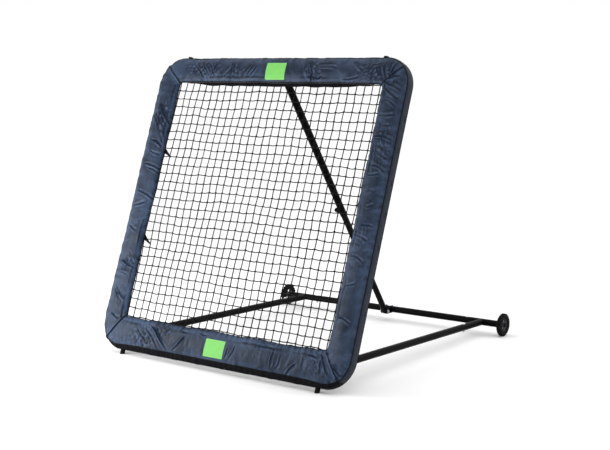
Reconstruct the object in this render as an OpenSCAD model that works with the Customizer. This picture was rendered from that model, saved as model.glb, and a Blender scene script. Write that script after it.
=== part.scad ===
// Pitch back rebounder: a square tube frame with a knotted net and padded sleeves, leaning
// back on a wheeled tube base and held by one telescopic prop. Millimetres, +Z up, X across,
// -Y towards the player. The origin is on the floor, at the centre of the footprint.

/* [Frame] */
// Side of the square frame, measured over the padded sleeves
frame_size = 1640; // [1400:10:1900]
// Lean of the frame from upright, in degrees
lean = 20; // [12:0.5:28]
// Height of the frame's lower edge above the floor
edge_h = 20; // [14:1:40]
// Outside diameter of the frame tubes
tube_d = 38; // [32:1:40]
// Wall of every steel tube
tube_wall = 1.5; // [1:0.1:2.5]
// Radius of the corner bends, at the tube's centre line
bend_r = 130; // [100:5:150]
// Length of straight tube on each end of a corner bend
corner_leg = 80; // [70:1:100]
// Distance of the joint bolts, caps and feet from the corner bends
joint_in = 18; // [17:1:30]
// Length of a plugged tube end beyond its bolt
neck_past = 10; // [8:1:14]

/* [Pads] */
// Width of the left and right pads
pad_side_w = 152; // [110:1:180]
// Width of the top pad
pad_top_w = 142; // [110:1:180]
// Width of the bottom pad
pad_bottom_w = 178; // [130:1:200]
// Height of the pads' crown in front of the frame's middle plane
pad_crown = 35; // [31:0.5:45]
// Thickness of the sleeve where it wraps round the tube
sleeve_t = 3.3; // [2:0.1:6]
// Width of the blank label patches
label_w = 126; // [60:1:140]
// Height of the blank label patches
label_h = 90; // [50:1:100]
// Thickness of the label patches
label_t = 1; // [0.5:0.1:2]

/* [Net] */
// Number of gaps along each side of the net
net_gaps = 16; // [8:1:17]
// Thickness of the net's cords
net_cord = 2.6; // [2:0.2:4]
// Distance of the net's edge from the frame's outer edge
net_margin = 60; // [56:1:120]
// Diameter of the rope along the net's border
rope_d = 6; // [4:0.5:10]
// Ties that hold each side of the net to its tube
ties_per_side = 8; // [4:2:14]
// Width of a tie's webbing
tie_w = 20; // [10:1:30]
// Thickness of a tie's webbing
tie_t = 1; // [0.8:0.1:1.6]
// Width of the straps that close the sleeves behind the tubes
strap_w = 30; // [15:1:50]
// Width of the tapes that tie the left pad to the net
tape_w = 12; // [8:1:20]
// Half the distance between the two tapes
tape_up = 246; // [100:1:400]
// Height of the tapes' middle above the frame's middle
tape_rise = 26; // [-50:1:100]
// Length of a tape across the net, from the pad's inner edge
tape_reach = 44; // [20:1:80]
// Drop of a tape along its length
tape_drop = 33; // [10:1:60]

/* [Base] */
// Distance from the frame's lower edge back to the wheel axles
stance = 1596; // [1300:10:1800]
// Outside diameter of the base tubes
base_d = 38; // [32:1:42]
// Distance between the two side tubes' centre lines
track = 1270; // [1000:10:1400]
// Distance between the two ends of the rear tube
rear_w = 1470; // [1400:10:1700]
// Length of a rear corner's leg towards the frame
corner_fore = 235; // [150:5:300]
// Length of a rear corner's leg towards the middle
corner_side = 120; // [80:5:200]
// Height of the front hinges, along the frame from its lower edge
hinge_up = 93; // [86:1:120]
// Distance of the front hinges behind the frame's middle plane
hinge_back = 32; // [30:1:45]
// Length of the base tubes' reduced ends
base_neck_len = 50; // [35:1:70]
// Diameter of the hinge bolts
hinge_d = 10; // [8:0.5:12]
// Thickness of all steel bracket plates
plate_t = 4; // [3:0.5:6]

/* [Wheels] */
// Diameter of the wheels over their tread
wheel_d = 130; // [110:2:200]
// Width of the tyres
wheel_w = 26; // [20:1:40]
// Height of the tread blocks
lug_h = 2.5; // [1:0.5:4]
// Number of tread blocks in each row
lugs = 24; // [12:1:36]
// Outside diameter of the wheel's rim
rim_d = 84; // [70:2:100]
// Number of openings in the rim
rim_holes = 5; // [3:1:7]
// Diameter of the wheel axles
axle_d = 10; // [8:0.5:12]

/* [Prop] */
// Outside diameter of the upper prop tube
upper_d = 40; // [36:0.5:42]
// Outside diameter of the lower prop tube
lower_d = 35; // [30:0.5:36]
// Length of lower tube that shows below the upper tube
lower_shows = 760; // [600:5:900]
// Length of lower tube inside the upper tube
overlap = 360; // [250:5:500]
// Distance of the lower prop pivot in front of the wheel axles
foot_fore = 44; // [42:1:60]
// Height of the lower prop pivot above the floor
foot_h = 58; // [50:1:80]
// Distance of the upper prop pivot behind the frame's middle plane
head_back = 42; // [38:1:60]
// Distance of the upper prop pivot below the frame's top edge
head_down = 80; // [60:1:120]
// Diameter of the prop's pivot pins
prop_pin_d = 10; // [8:0.5:12]
// Slack around the upper pivot pin
head_slack = 5; // [4.6:0.1:6]
// Distance between two locking holes
hole_pitch = 84; // [60:2:100]
// Number of locking holes
hole_count = 5; // [3:1:5]
// Diameter of the locking holes
hole_d = 9; // [6:0.5:11]

/* [Fits] */
// Radial clearance of tube ends plugged into tubes
plug_fit = 0.1; // [0.05:0.05:0.3]
// Radial clearance of turning and sliding fits
run_fit = 0.05; // [0.02:0.01:0.1]
// Gap between a soft piece and what it lies on
soft_gap = 0.3; // [0.2:0.1:0.6]
// Side gap between a tube end and its bracket
side_gap = 0.4; // [0.2:0.1:1]

/* [Hidden] */
$fn = 48;

steel = [0.09, 0.09, 0.10];
zinc = [0.72, 0.73, 0.74];
cloth = [0.20, 0.23, 0.31];
plastic = [0.12, 0.12, 0.13];
tiny = 0.01;

// Frame: the tubes' centre lines form a rounded square with its middle at height mid
mid = frame_size / 2;
tube_r = tube_d / 2;
tie_in = (tube_r + 0.1) / cos(14);
channel_flat = tie_in + tie_t + soft_gap;
channel_r = channel_flat / cos(14);
wrap_r = round(10 * (channel_r + sleeve_t)) / 10;
line_half = mid - wrap_r;
bend_from = line_half - bend_r;
leg_end = bend_from - corner_leg;
joint_at = bend_from - joint_in;
rail = mid - line_half;
neck_r = tube_r - tube_wall - plug_fit;
neck_len = corner_leg - joint_in + neck_past;
neck_root = 8;
stem_in = 6;

// Base
base_r = base_d / 2;
wheel_r = wheel_d / 2;
front_reach = wrap_r * (1 - sin(lean));
edge_y = -(stance + wheel_r - front_reach) / 2;
axle_y = edge_y + stance;
axle_z = wheel_r;
side_x = track / 2;
hinge_y = edge_y + hinge_up * sin(lean) + hinge_back * cos(lean);
hinge_z = edge_h + hinge_up * cos(lean) - hinge_back * sin(lean);
fore_y = axle_y - hinge_y;
fall_z = axle_z - hinge_z;
side_len = sqrt(fore_y * fore_y + fall_z * fall_z);
side_tip = asin(fall_z / side_len);
side_end = side_len - corner_fore;
bar_nose = base_r - 2;
base_bore = base_r - tube_wall;
base_neck_r = base_bore - plug_fit;
nose_plug = 24;
bolt_r = 4;
butt_gap = 0.3;

// Prop: its own axis runs from the lower pivot up to the upper pivot
head_z = frame_size - head_down;
head_wy = edge_y + head_z * sin(lean) + head_back * cos(lean);
head_wz = edge_h + head_z * cos(lean) - head_back * sin(lean);
foot_y = axle_y - foot_fore;
prop_dy = foot_y - head_wy;
prop_dz = head_wz - foot_h;
prop_len = sqrt(prop_dy * prop_dy + prop_dz * prop_dz);
prop_lean = atan2(prop_dy, prop_dz);
upper_r = upper_d / 2;
lower_r = lower_d / 2;
lower_top = lower_shows + overlap;
foot_nose = lower_r - 1;
foot_plug = 25;
bush_flange = 3;
bush_len = 30;
ring_len = 12;
ring_stem = 25;
head_r = upper_r - 1;
head_tongue = 24;
head_stem = 30;
head_flange = 2;
upper_top = prop_len - head_r - 12;
lock_above = 68;
lock_up = lower_shows + lock_above;
lock_r = 9;
lock_seat = upper_r + 12;
pin_from = upper_r - tube_wall;
pin_len = 28;
knob_r = 13;
knob_side = 10;
knob_dome = 6;
knob_gap = 0.5;

// Places a piece in the frame's own coordinates: X across, Y back through the net, Z up the frame
module on_frame() {
    translate([0, edge_y, edge_h]) rotate([-lean, 0, 0]) children();
}

// Places a piece on the prop: Z up along it from the lower pivot, Y out of its rear
module on_prop() {
    translate([0, foot_y, foot_h]) rotate([prop_lean, 0, 0]) children();
}

// Places a piece on a side tube: Y runs back along it from the hinge
module on_side(side) {
    translate([side * side_x, hinge_y, hinge_z]) rotate([side_tip, 0, 0]) children();
}

// Turns about the frame's middle, in the plane of the net
module turn_frame(angle) {
    translate([0, 0, mid]) rotate([0, angle, 0]) translate([0, 0, -mid]) children();
}

// A cylinder along X, centred on its own middle
module bar_x(r, length) {
    rotate([0, 90, 0]) cylinder(r = r, h = length, center = true);
}

// A cylinder along Y from y = 0
module bar_y(r, length) {
    rotate([-90, 0, 0]) cylinder(r = r, h = length);
}

module tube_x(r, length, wall = tube_wall) {
    difference() {
        bar_x(r, length);
        bar_x(r - wall, length + 1);
    }
}

module hex_head(across, height) {
    cylinder(d = across / cos(30), h = height, $fn = 6);
}

// Domed head of radius r and height h, standing on z = 0
module button_head(r, h) {
    ball = (r * r + h * h) / (2 * h);
    rotate_extrude() intersection() {
        translate([0, h - ball]) circle(r = ball);
        square([r, h]);
    }
}

// ---- Frame tubes ----

// One corner bend with a straight leg on each end, drawn for the lower right corner. The upright
// leg takes a bolt from behind; the level leg takes the stem of a foot or a cap.
module corner_shape() {
    bore_r = tube_r - tube_wall;
    difference() {
        union() {
            translate([bend_from, 0, mid - bend_from]) rotate([90, 0, 0])
                rotate_extrude(angle = -90) translate([bend_r, 0]) difference() {
                    circle(r = tube_r);
                    circle(r = bore_r);
                }
            translate([bend_from - corner_leg / 2, 0, rail]) tube_x(tube_r, corner_leg);
            translate([line_half, 0, mid - bend_from]) difference() {
                cylinder(r = tube_r, h = corner_leg);
                translate([0, 0, -0.5]) cylinder(r = bore_r, h = corner_leg + 1);
            }
        }
        translate([line_half, 0, mid - joint_at]) bar_y(bolt_r + run_fit, tube_d);
        translate([joint_at, 0, rail - tube_d]) cylinder(r = bolt_r + run_fit, h = tube_d);
    }
}

module frame_corner(left, top) {
    color(steel) on_frame() translate([0, 0, mid]) mirror([left, 0, 0]) mirror([0, 0, top])
        translate([0, 0, -mid]) corner_shape();
}

module frame_corner_bottom_right() { frame_corner(0, 0); }
module frame_corner_bottom_left() { frame_corner(1, 0); }
module frame_corner_top_left() { frame_corner(1, 1); }
module frame_corner_top_right() { frame_corner(0, 1); }

// A straight frame tube with its two reduced ends, drawn for the bottom of the frame
module straight_shape(takes_stems) {
    ring = tube_r - neck_r + tube_wall / 2;
    translate([0, 0, rail]) difference() {
        union() {
            tube_x(tube_r, 2 * (leg_end - butt_gap));
            for (s = [-1, 1]) translate([s * leg_end, 0, 0]) {
                translate([s * (neck_len - neck_root) / 2, 0, 0]) tube_x(neck_r, neck_len + neck_root);
                translate([-s * neck_root / 2, 0, 0]) tube_x(tube_r - tiny, neck_root / 2, ring);
            }
        }
        for (s = [-1, 1]) translate([s * joint_at, 0, 0])
            if (takes_stems) translate([0, 0, -tube_d]) cylinder(r = bolt_r + run_fit, h = tube_d);
            else bar_y(bolt_r + run_fit, tube_d);
    }
}

module frame_tube(angle, takes_stems) {
    color(steel) on_frame() turn_frame(angle) straight_shape(takes_stems);
}

module frame_tube_bottom() { frame_tube(0, true); }
module frame_tube_top() { frame_tube(180, true); }
module frame_tube_left() { frame_tube(90, false); }
module frame_tube_right() { frame_tube(-90, false); }

// Button-headed bolts through the upright tubes' joints, put in from behind
module frame_bolts() {
    reach = 1.5 * tube_wall;
    color(zinc) on_frame() for (angle = [90, -90], s = [-1, 1])
        turn_frame(angle) translate([s * joint_at, tube_r, rail]) {
            translate([0, -reach, 0]) bar_y(bolt_r, reach + 1);
            translate([0, tiny, 0]) rotate([-90, 0, 0]) button_head(8, 4);
        }
}

// Domed caps on the upper joints, with a stem in the tube
module top_caps() {
    cap_r = 14;
    cap_rise = 10;
    cap_dome = 4;
    seat = tube_r + soft_gap;
    cap_side = wrap_r + cap_rise - cap_dome - seat;
    color(plastic) on_frame() for (s = [-1, 1]) translate([s * joint_at, 0, mid + line_half]) {
        translate([0, 0, tube_r - stem_in]) cylinder(r = bolt_r, h = 2 * stem_in);
        translate([0, 0, seat]) cylinder(r = cap_r, h = cap_side);
        translate([0, 0, seat + cap_side]) button_head(cap_r, cap_dome);
    }
}

// Rubber feet under the lower joints, their soles level with the floor
module frame_feet() {
    foot_r = 14;
    foot_taper = 2;
    foot_len = rail + edge_h / cos(lean) + foot_r;
    top_r = foot_r - foot_taper;
    color(plastic) difference() {
        on_frame() for (s = [-1, 1]) translate([s * joint_at, 0, rail]) rotate([180, 0, 0]) {
            translate([0, 0, tube_r - stem_in]) cylinder(r = bolt_r, h = 2 * stem_in);
            difference() {
                translate([0, 0, tube_r - stem_in]) cylinder(r1 = top_r, r2 = foot_r, h = foot_len);
                bar_x(tube_r + tiny, 4 * foot_r);
            }
        }
        translate([-mid, edge_y - mid, -mid]) cube([2 * mid, 2 * mid, mid]);
    }
}

// ---- Net ----

net_half = mid - net_margin;
net_size = 2 * net_half;
net_pitch = net_size / net_gaps;
tie_from_joint = 90;
tie_pitch = 2 * (joint_at - tie_from_joint) / (ties_per_side - 1);
tie_snug = 0.4;
strap_shift = 36;
rope_r = rope_d / 2;
rope_clear = 10;
net_corner_r = bend_r - tube_r - rope_d - rope_clear;

// Place of tie k along its side of the frame
function tie_at(k) = (k - (ties_per_side - 1) / 2) * tie_pitch;

// The knotted net as one flat grid, notched where the ties go round its border rope
module net() {
    open_side = net_pitch - net_cord;
    notch = 2 * (tie_t + tie_snug + soft_gap);
    color(plastic) on_frame() translate([0, net_cord / 2, mid]) rotate([90, 0, 0])
        linear_extrude(height = net_cord) difference() {
            union() {
                for (turn = [0, 90]) rotate(turn)
                    square([net_size - 2 * tiny, net_size - 2 * net_corner_r], center = true);
                for (x = [-1, 1], z = [-1, 1])
                    translate([x, z] * (net_half - net_corner_r)) circle(r = net_corner_r - tiny);
            }
            for (i = [0 : net_gaps - 1], j = [0 : net_gaps - 1])
                translate([(i + 0.5) * net_pitch - net_half, (j + 0.5) * net_pitch - net_half])
                    square(open_side, center = true);
            for (angle = [0, 90, 180, 270], k = [0 : ties_per_side - 1])
                rotate(angle) translate([tie_at(k), -net_half])
                    square([tie_w + 2 * soft_gap, notch], center = true);
        }
}

// Rope along the four edges of the net and round its corners
module net_border_rope() {
    run = net_half - net_corner_r;
    color(plastic) on_frame() for (angle = [0, 90, 180, 270]) turn_frame(angle) {
        translate([0, 0, mid - net_half - rope_r]) bar_x(rope_r, 2 * run);
        translate([run, 0, mid - run]) rotate([90, 0, 0])
            rotate_extrude(angle = -90) translate([net_corner_r + rope_r, 0]) circle(r = rope_r);
    }
}

// Outline of a belt round two circles: r1 at the origin and r2 at distance gap along Y
function belt(r1, r2, gap, n = 9) =
    let (a = asin((r1 - r2) / gap))
    concat(
        [for (i = [0 : n]) let (t = 180 - a + (180 + 2 * a) * i / n) [r1 * cos(t), r1 * sin(t)]],
        [for (i = [0 : n]) let (t = a + (180 - 2 * a) * i / n) [r2 * cos(t), gap + r2 * sin(t)]]
    );

// Webbing loops that tie the border rope to the frame tube
module net_ties() {
    gap = line_half - net_half - rope_r;
    color(plastic) on_frame() for (angle = [0, 90, 180, 270], k = [0 : ties_per_side - 1])
        turn_frame(angle) translate([tie_at(k), 0, rail])
            rotate([0, 0, 90]) rotate([90, 0, 0]) linear_extrude(height = tie_w, center = true)
                difference() {
                    polygon(belt(tie_in + tie_t, rope_r + tie_snug + tie_t, gap));
                    polygon(belt(tie_in, rope_r + tie_snug, gap));
                }
}

// Straps round the tubes, between the ties, that close the sleeves behind
module pad_straps() {
    color(plastic) on_frame() for (angle = [0, 90, 180, 270], k = [0 : ties_per_side - 2])
        turn_frame(angle) translate([tie_at(k + 0.5) + strap_shift, 0, rail])
            difference() {
                bar_x(tube_r + tie_t, strap_w);
                bar_x(tube_r + tiny, strap_w + 1);
            }
}

// Tapes from under the left pad's inner edge to the net
module pad_tapes() {
    tuck = 16;
    edge = mid - pad_side_w;
    half_drop = tape_drop / 2;
    color(plastic) on_frame() for (up = [-1, 1])
        translate([0, -net_cord / 2 - soft_gap, mid + tape_rise + up * tape_up]) rotate([90, 0, 0])
            linear_extrude(height = tie_t) polygon([
                [-edge - tuck, half_drop + tape_w / 2], [tape_reach - edge, -half_drop],
                [tape_reach - edge, -half_drop - tape_w / 3], [-edge - tuck, half_drop - tape_w / 2]
            ]);
}

// ---- Pads ----

// Section of a sleeve: s runs inwards from its outer edge, d forwards from the frame's middle
// plane. It wraps round the tube, swells over the foam, and tucks in behind it.
pad_nominal = 150;
rigid_to = 48;
wrap_back = 235;
wrap_points = [for (a = [wrap_back, 205, 180, 155, 130]) [wrap_r * (1 + cos(a)), wrap_r * sin(a)]];
crown_points = [
    [14, pad_crown - 10], [22, pad_crown - 5.5], [40, pad_crown - 2], [75, pad_crown],
    [110, pad_crown - 2], [135, pad_crown - 7.5], [146, pad_crown - 15]
];
tuck_points = [[pad_nominal, 13], [pad_nominal - 2, 7.5], [120, 6.5], [66, 6]];
channel_points = [
    for (a = [62 : 28 : 230]) [wrap_r + channel_r * cos(a), channel_r * sin(a)]
];
pad_section = concat(wrap_points, crown_points, tuck_points, channel_points);
section_n = len(pad_section);
rungs = len(tuck_points) + len(channel_points) - 1;

pad_corner_r = bend_r + wrap_r;
pad_line = mid - pad_corner_r;
arc_steps = 4;
run_steps = 9;
station_n = 2 * arc_steps + run_steps;
mitre_gap = 1.2;
edge_pull = 2.5;

// Outer edge of a pad: point and direction inwards, as [t, w, nt, nw], at station k
function arc_station(side, a) = [
    side * pad_line + pad_corner_r * cos(a), -pad_line + pad_corner_r * sin(a), -cos(a), -sin(a)
];
function outer_station(k) =
    k <= arc_steps ? arc_station(-1, 225 + mitre_gap / 3 + (45 - mitre_gap / 3) * k / arc_steps)
    : k < arc_steps + run_steps ?
        [(2 * (k - arc_steps) / run_steps - 1) * pad_line, -mid, 0, 1]
    : arc_station(1, 270 + (45 - mitre_gap / 3) * (k - arc_steps - run_steps) / arc_steps);

// One corner of the pad's skin: station k, section point i, pad width w, widths wa and wb of
// the pads that it meets at its two ends
function pad_point(k, i, w, wa, wb) =
    let (
        o = outer_station(k), p = pad_section[i], f = k / station_n,
        from = -(mid - wa - mitre_gap), to = mid - wb - mitre_gap,
        inner = [from + (to - from) * f, -mid + w - edge_pull * sin(180 * f)],
        hold = min(p[0], rigid_to),
        share = max(0, p[0] - rigid_to) / (pad_nominal - rigid_to),
        base = [o[0] + o[2] * hold, o[1] + o[3] * hold],
        swell = p[1] > pad_crown - 8 ? p[1] - 4 * pow(abs(2 * f - 1), 6) : p[1]
    )
    [base[0] + (inner[0] - base[0]) * share, -swell, mid + base[1] + (inner[1] - base[1]) * share];

module pad_shape(w, wa, wb) {
    points = [for (k = [0 : station_n], i = [0 : section_n - 1]) pad_point(k, i, w, wa, wb)];
    walls = [
        for (k = [0 : station_n - 1], i = [0 : section_n - 1])
            let (a = k * section_n + i, b = k * section_n + (i + 1) % section_n)
                each [[a, b, b + section_n], [a, b + section_n, a + section_n]]
    ];
    finish = [
        for (i = [0 : rungs]) let (a = i, b = i + 1, c = section_n - 2 - i, d = section_n - 1 - i)
            each (i < rungs ? [[a, b, c], [a, c, d]] : [[a, b, d]])
    ];
    start = [for (f = finish) [f[2], f[1], f[0]]];
    last = station_n * section_n;
    ends = concat(start, [for (f = finish) [f[0] + last, f[1] + last, f[2] + last]]);
    polyhedron(points = points, faces = concat(walls, ends), convexity = 6);
}

// Clear holes where the caps and feet come through the sleeve
module cap_holes() {
    for (s = [-1, 1]) translate([s * joint_at, 0, rail - 2 * wrap_r]) cylinder(r = 17, h = 2 * wrap_r);
}

module pad_bottom() {
    color(cloth) on_frame() difference() {
        pad_shape(pad_bottom_w, pad_side_w, pad_side_w);
        cap_holes();
    }
}

module pad_top() {
    color(cloth) on_frame() turn_frame(180) difference() {
        pad_shape(pad_top_w, pad_side_w, pad_side_w);
        cap_holes();
    }
}

module pad_left() {
    color(cloth) on_frame() turn_frame(90) pad_shape(pad_side_w, pad_top_w, pad_bottom_w);
}

module pad_right() {
    color(cloth) on_frame() turn_frame(-90) pad_shape(pad_side_w, pad_bottom_w, pad_top_w);
}

// Blank woven patch sewn on the crown of a pad of width w
module label(w) {
    reach = (w - edge_pull - rigid_to) / (pad_nominal - rigid_to);
    function place(s) = s <= rigid_to ? s : rigid_to + (s - rigid_to) * reach;
    low = w * 0.26;
    cuts = [for (p = crown_points) if (place(p[0]) > low + tiny && place(p[0]) < low + label_h - tiny) p];
    function skin(x) = lookup(x, [for (p = crown_points) [place(p[0]), p[1]]]);
    line = concat(
        [[low, skin(low)]], [for (p = cuts) [place(p[0]), p[1]]],
        [[low + label_h, skin(low + label_h)]]
    );
    lift = soft_gap;
    n = len(line);
    color("limegreen") translate([-label_w / 2, 0, 0]) rotate([90, 0, 90])
        linear_extrude(height = label_w) polygon(concat(
            [for (i = [0 : n - 1]) [-(line[i][1] + lift), line[i][0]]],
            [for (i = [n - 1 : -1 : 0]) [-(line[i][1] + lift + label_t), line[i][0]]]
        ));
}

module label_bottom() { on_frame() label(pad_bottom_w); }
module label_top() { on_frame() turn_frame(180) label(pad_top_w); }

// ---- Front hinges ----

// Side plate of a hinge bracket, in the frame's Y and Z, cut round the tube
module hinge_cheek() {
    eye_r = hinge_d / 2 + 11;
    grip = tube_r * 0.65;
    low = rail - tube_r / 2;
    rotate([90, 0, 90]) linear_extrude(height = plate_t, center = true) difference() {
        union() {
            translate([hinge_back, hinge_up]) circle(r = eye_r);
            polygon([
                [grip, rail + grip], [hinge_back - eye_r, hinge_up], [hinge_back + eye_r, hinge_up],
                [tube_r + 2 * plate_t, rail], [tube_r + plate_t, low], [grip, low]
            ]);
        }
        translate([0, rail]) circle(r = tube_r + tiny);
        translate([hinge_back, hinge_up]) circle(d = hinge_d);
    }
}

cheek_at = base_r + side_gap + plate_t / 2;

module hinge_bracket(side) {
    web_h = tube_r * 0.9;
    color(steel) on_frame() translate([side * side_x, 0, 0]) {
        for (s = [-1, 1]) translate([s * cheek_at, 0, 0]) hinge_cheek();
        translate([-cheek_at, tube_r + side_gap, rail - web_h / 3]) cube([2 * cheek_at, plate_t, web_h]);
    }
}

module hinge_bracket_left() { hinge_bracket(-1); }
module hinge_bracket_right() { hinge_bracket(1); }

// A cross bolt along X: shank, hexagon head and nut outside two plates at +-reach
module cross_bolt(r, reach) {
    nut_h = 6;
    bar_x(r, 2 * (reach + nut_h + 1));
    for (s = [-1, 1]) translate([s * reach, 0, 0]) rotate([0, s * 90, 0]) hex_head(3.4 * r, nut_h);
}

module hinge_bolt(side) {
    color(zinc) on_frame() translate([side * side_x, hinge_back, hinge_up])
        cross_bolt(hinge_d / 2 - run_fit, cheek_at + plate_t / 2 + tiny);
}

module hinge_bolt_left() { hinge_bolt(-1); }
module hinge_bolt_right() { hinge_bolt(1); }

// ---- Base tubes ----

// A side tube: round nose with the hinge hole, and a reduced end for the rear corner
module side_tube(side) {
    color(steel) on_side(side) difference() {
        union() {
            intersection() {
                translate([0, -bar_nose, 0]) bar_y(base_r, side_end + bar_nose - butt_gap);
                union() {
                    translate([-base_d, 0, -base_d]) cube([2 * base_d, side_len, 2 * base_d]);
                    bar_x(bar_nose + 2, 2 * base_d);
                }
            }
            translate([0, side_end - neck_root, 0]) bar_y(base_neck_r, neck_root + base_neck_len);
        }
        translate([0, nose_plug, 0]) bar_y(base_bore, side_end - neck_root - nose_plug);
        translate([0, nose_plug, 0]) bar_y(base_neck_r - tube_wall, side_len);
        bar_x(hinge_d / 2, 2 * base_d);
        translate([0, side_end + base_neck_len / 2, -base_d])
            cylinder(r = bolt_r + run_fit, h = 2 * base_d);
    }
}

module side_tube_left() { side_tube(-1); }
module side_tube_right() { side_tube(1); }

rear_joint_x = side_x - corner_side;

// A rear corner: a stub of the rear tube with a leg welded on towards the frame
module rear_corner(side) {
    stub = rear_w / 2 - rear_joint_x;
    color(steel) difference() {
        union() {
            translate([side * (rear_joint_x + stub / 2), axle_y, axle_z]) bar_x(base_r, stub);
            on_side(side) translate([0, side_end, 0]) bar_y(base_r, corner_fore);
        }
        translate([side * (rear_joint_x + stub / 2), axle_y, axle_z]) bar_x(base_bore, stub + 1);
        on_side(side) translate([0, side_end - 1, 0]) bar_y(base_bore, corner_fore - base_r + 1);
        on_side(side) translate([0, side_end + base_neck_len / 2, -base_d])
            cylinder(r = bolt_r + run_fit, h = 2 * base_d);
        translate([side * (rear_joint_x + base_neck_len / 2), axle_y, axle_z - base_d])
            cylinder(r = bolt_r + run_fit, h = 2 * base_d);
    }
}

module rear_corner_left() { rear_corner(-1); }
module rear_corner_right() { rear_corner(1); }

// The rear cross tube between the two corners, with reduced ends
module rear_tube() {
    color(steel) translate([0, axle_y, axle_z]) difference() {
        union() {
            bar_x(base_r, 2 * (rear_joint_x - butt_gap));
            bar_x(base_neck_r, 2 * (rear_joint_x + base_neck_len));
        }
        bar_x(base_bore, 2 * (rear_joint_x - neck_root));
        bar_x(base_neck_r - tube_wall, 2 * rear_w);
        for (s = [-1, 1]) translate([s * (rear_joint_x + base_neck_len / 2), 0, -base_d])
            cylinder(r = bolt_r + run_fit, h = 2 * base_d);
    }
}

// A bolt down through a base tube, with a domed head above and a nut below
module down_bolt() {
    nut_h = 6.5;
    bolt_past = nut_h + 2.5;
    translate([0, 0, -base_r - bolt_past]) cylinder(r = bolt_r, h = base_d + bolt_past + 2);
    translate([0, 0, base_r + tiny]) button_head(9, 5);
    translate([0, 0, -base_r - nut_h]) hex_head(13, nut_h - tiny);
}

module base_bolts() {
    color(zinc) for (s = [-1, 1]) {
        translate([s * (rear_joint_x + base_neck_len / 2), axle_y, axle_z]) down_bolt();
        on_side(s) translate([0, side_end + base_neck_len / 2, 0]) down_bolt();
    }
}

// ---- Wheels ----

plug_flange = 4;
plug_in = 30;
spacer_len = 24;
spacer_r = 13;
wheel_x = rear_w / 2 + spacer_len + wheel_w / 2;
hub_out = wheel_w / 2 - side_gap;
hub_r = 15;
hub_recess = 3;
rim_r = rim_d / 2;
rim_t = 4;
rim_bed = 0.62 * wheel_w;
tread_round = 0.62 * wheel_w;
axle_in = 50;
axle_head = 5;
axle_across = 16;

// Plastic plugs in the ends of the rear tube, stepped down to a spacer for the wheel
module rear_end_plugs() {
    color(plastic) for (s = [-1, 1]) translate([0, axle_y, axle_z]) rotate([0, s * 90, 0])
        translate([0, 0, rear_w / 2]) difference() {
            union() {
                translate([0, 0, -plug_in]) cylinder(r = base_neck_r, h = plug_in + 1);
                cylinder(r = base_r, h = plug_flange);
                translate([0, 0, plug_flange - 1])
                    cylinder(r1 = hub_r, r2 = spacer_r, h = spacer_len - plug_flange + 1);
            }
            translate([0, 0, -2 * plug_in]) cylinder(d = axle_d, h = 2 * plug_in + 2 * spacer_len);
        }
}

// Axle bolt; its head lies in the hub's recess
module axle(side) {
    head_at = hub_out - hub_recess + side_gap;
    color(zinc) translate([side * wheel_x, axle_y, axle_z]) rotate([0, side * 90, 0]) {
        translate([0, 0, -hub_out - axle_in])
            cylinder(r = axle_d / 2 - run_fit, h = hub_out + axle_in + head_at + 1);
        translate([0, 0, head_at]) hex_head(axle_across, axle_head);
    }
}

module axle_left() { axle(-1); }
module axle_right() { axle(1); }

// Rim: hub, web with openings and the bed that carries the tyre
module wheel_rim(side) {
    hole_at = (hub_r + rim_r - rim_t) / 2;
    opening_r = (rim_r - rim_t - hub_r) / 2 - 2;
    web_t = 6;
    color("dimgray") translate([side * wheel_x, axle_y, axle_z]) rotate([0, side * 90, 0]) difference() {
        union() {
            cylinder(r = hub_r, h = 2 * hub_out, center = true);
            cylinder(r = rim_r - 1, h = web_t, center = true);
            difference() {
                cylinder(r = rim_r, h = rim_bed, center = true);
                cylinder(r = rim_r - rim_t, h = rim_bed + 1, center = true);
            }
        }
        cylinder(d = axle_d, h = 2 * wheel_w, center = true);
        for (i = [0 : rim_holes - 1]) rotate([0, 0, i * 360 / rim_holes])
            translate([hole_at, 0, 0]) cylinder(r = opening_r, h = wheel_w, center = true);
        translate([0, 0, hub_out - hub_recess]) cylinder(r = axle_across / 2 + 3.5, h = 2 * hub_recess);
    }
}

module wheel_rim_left() { wheel_rim(-1); }
module wheel_rim_right() { wheel_rim(1); }

// Tyre: a rounded band on the rim's bed, with two rows of tread blocks
module tyre(side) {
    body_r = wheel_r - lug_h;
    lug_len = 7;
    lug_w = 7.5;
    lug_root = 4;
    groove = 0.8;
    bead = 5;
    color(plastic) translate([side * wheel_x, axle_y, axle_z]) rotate([0, side * 90, 0]) {
        rotate_extrude($fn = 96) difference() {
            intersection() {
                translate([rim_r - bead, -wheel_w / 2]) square([body_r - rim_r + bead, wheel_w]);
                translate([body_r - tread_round, 0]) circle(r = tread_round);
            }
            translate([0, -rim_bed / 2]) square([rim_r + run_fit, rim_bed]);
        }
        for (i = [0 : lugs - 1], row = [0, 1]) rotate([0, 0, (i + row / 2) * 360 / lugs])
            translate([body_r - lug_root, -lug_len / 2, row * groove - (1 - row) * (groove + lug_w)])
                cube([lug_root + lug_h, lug_len, lug_w]);
    }
}

module tyre_left() { tyre(-1); }
module tyre_right() { tyre(1); }

// Domed cap on the hub, hollow over the axle's head
module wheel_cap(side) {
    cap_r = hub_r - 1;
    hollow_r = axle_across / 2 + 2;
    hollow = axle_head - hub_recess + 2 * side_gap;
    cap_side = 2;
    cap_dome = 4;
    color(plastic) translate([side * wheel_x, axle_y, axle_z]) rotate([0, side * 90, 0])
        translate([0, 0, hub_out]) difference() {
            union() {
                cylinder(r = cap_r, h = cap_side);
                translate([0, 0, cap_side]) button_head(cap_r, cap_dome);
            }
            translate([0, 0, -1]) cylinder(r = hollow_r, h = 1 + hollow);
        }
}

module wheel_cap_left() { wheel_cap(-1); }
module wheel_cap_right() { wheel_cap(1); }

// ---- Prop ----

foot_cheek = lower_r + side_gap + plate_t / 2;

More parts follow.
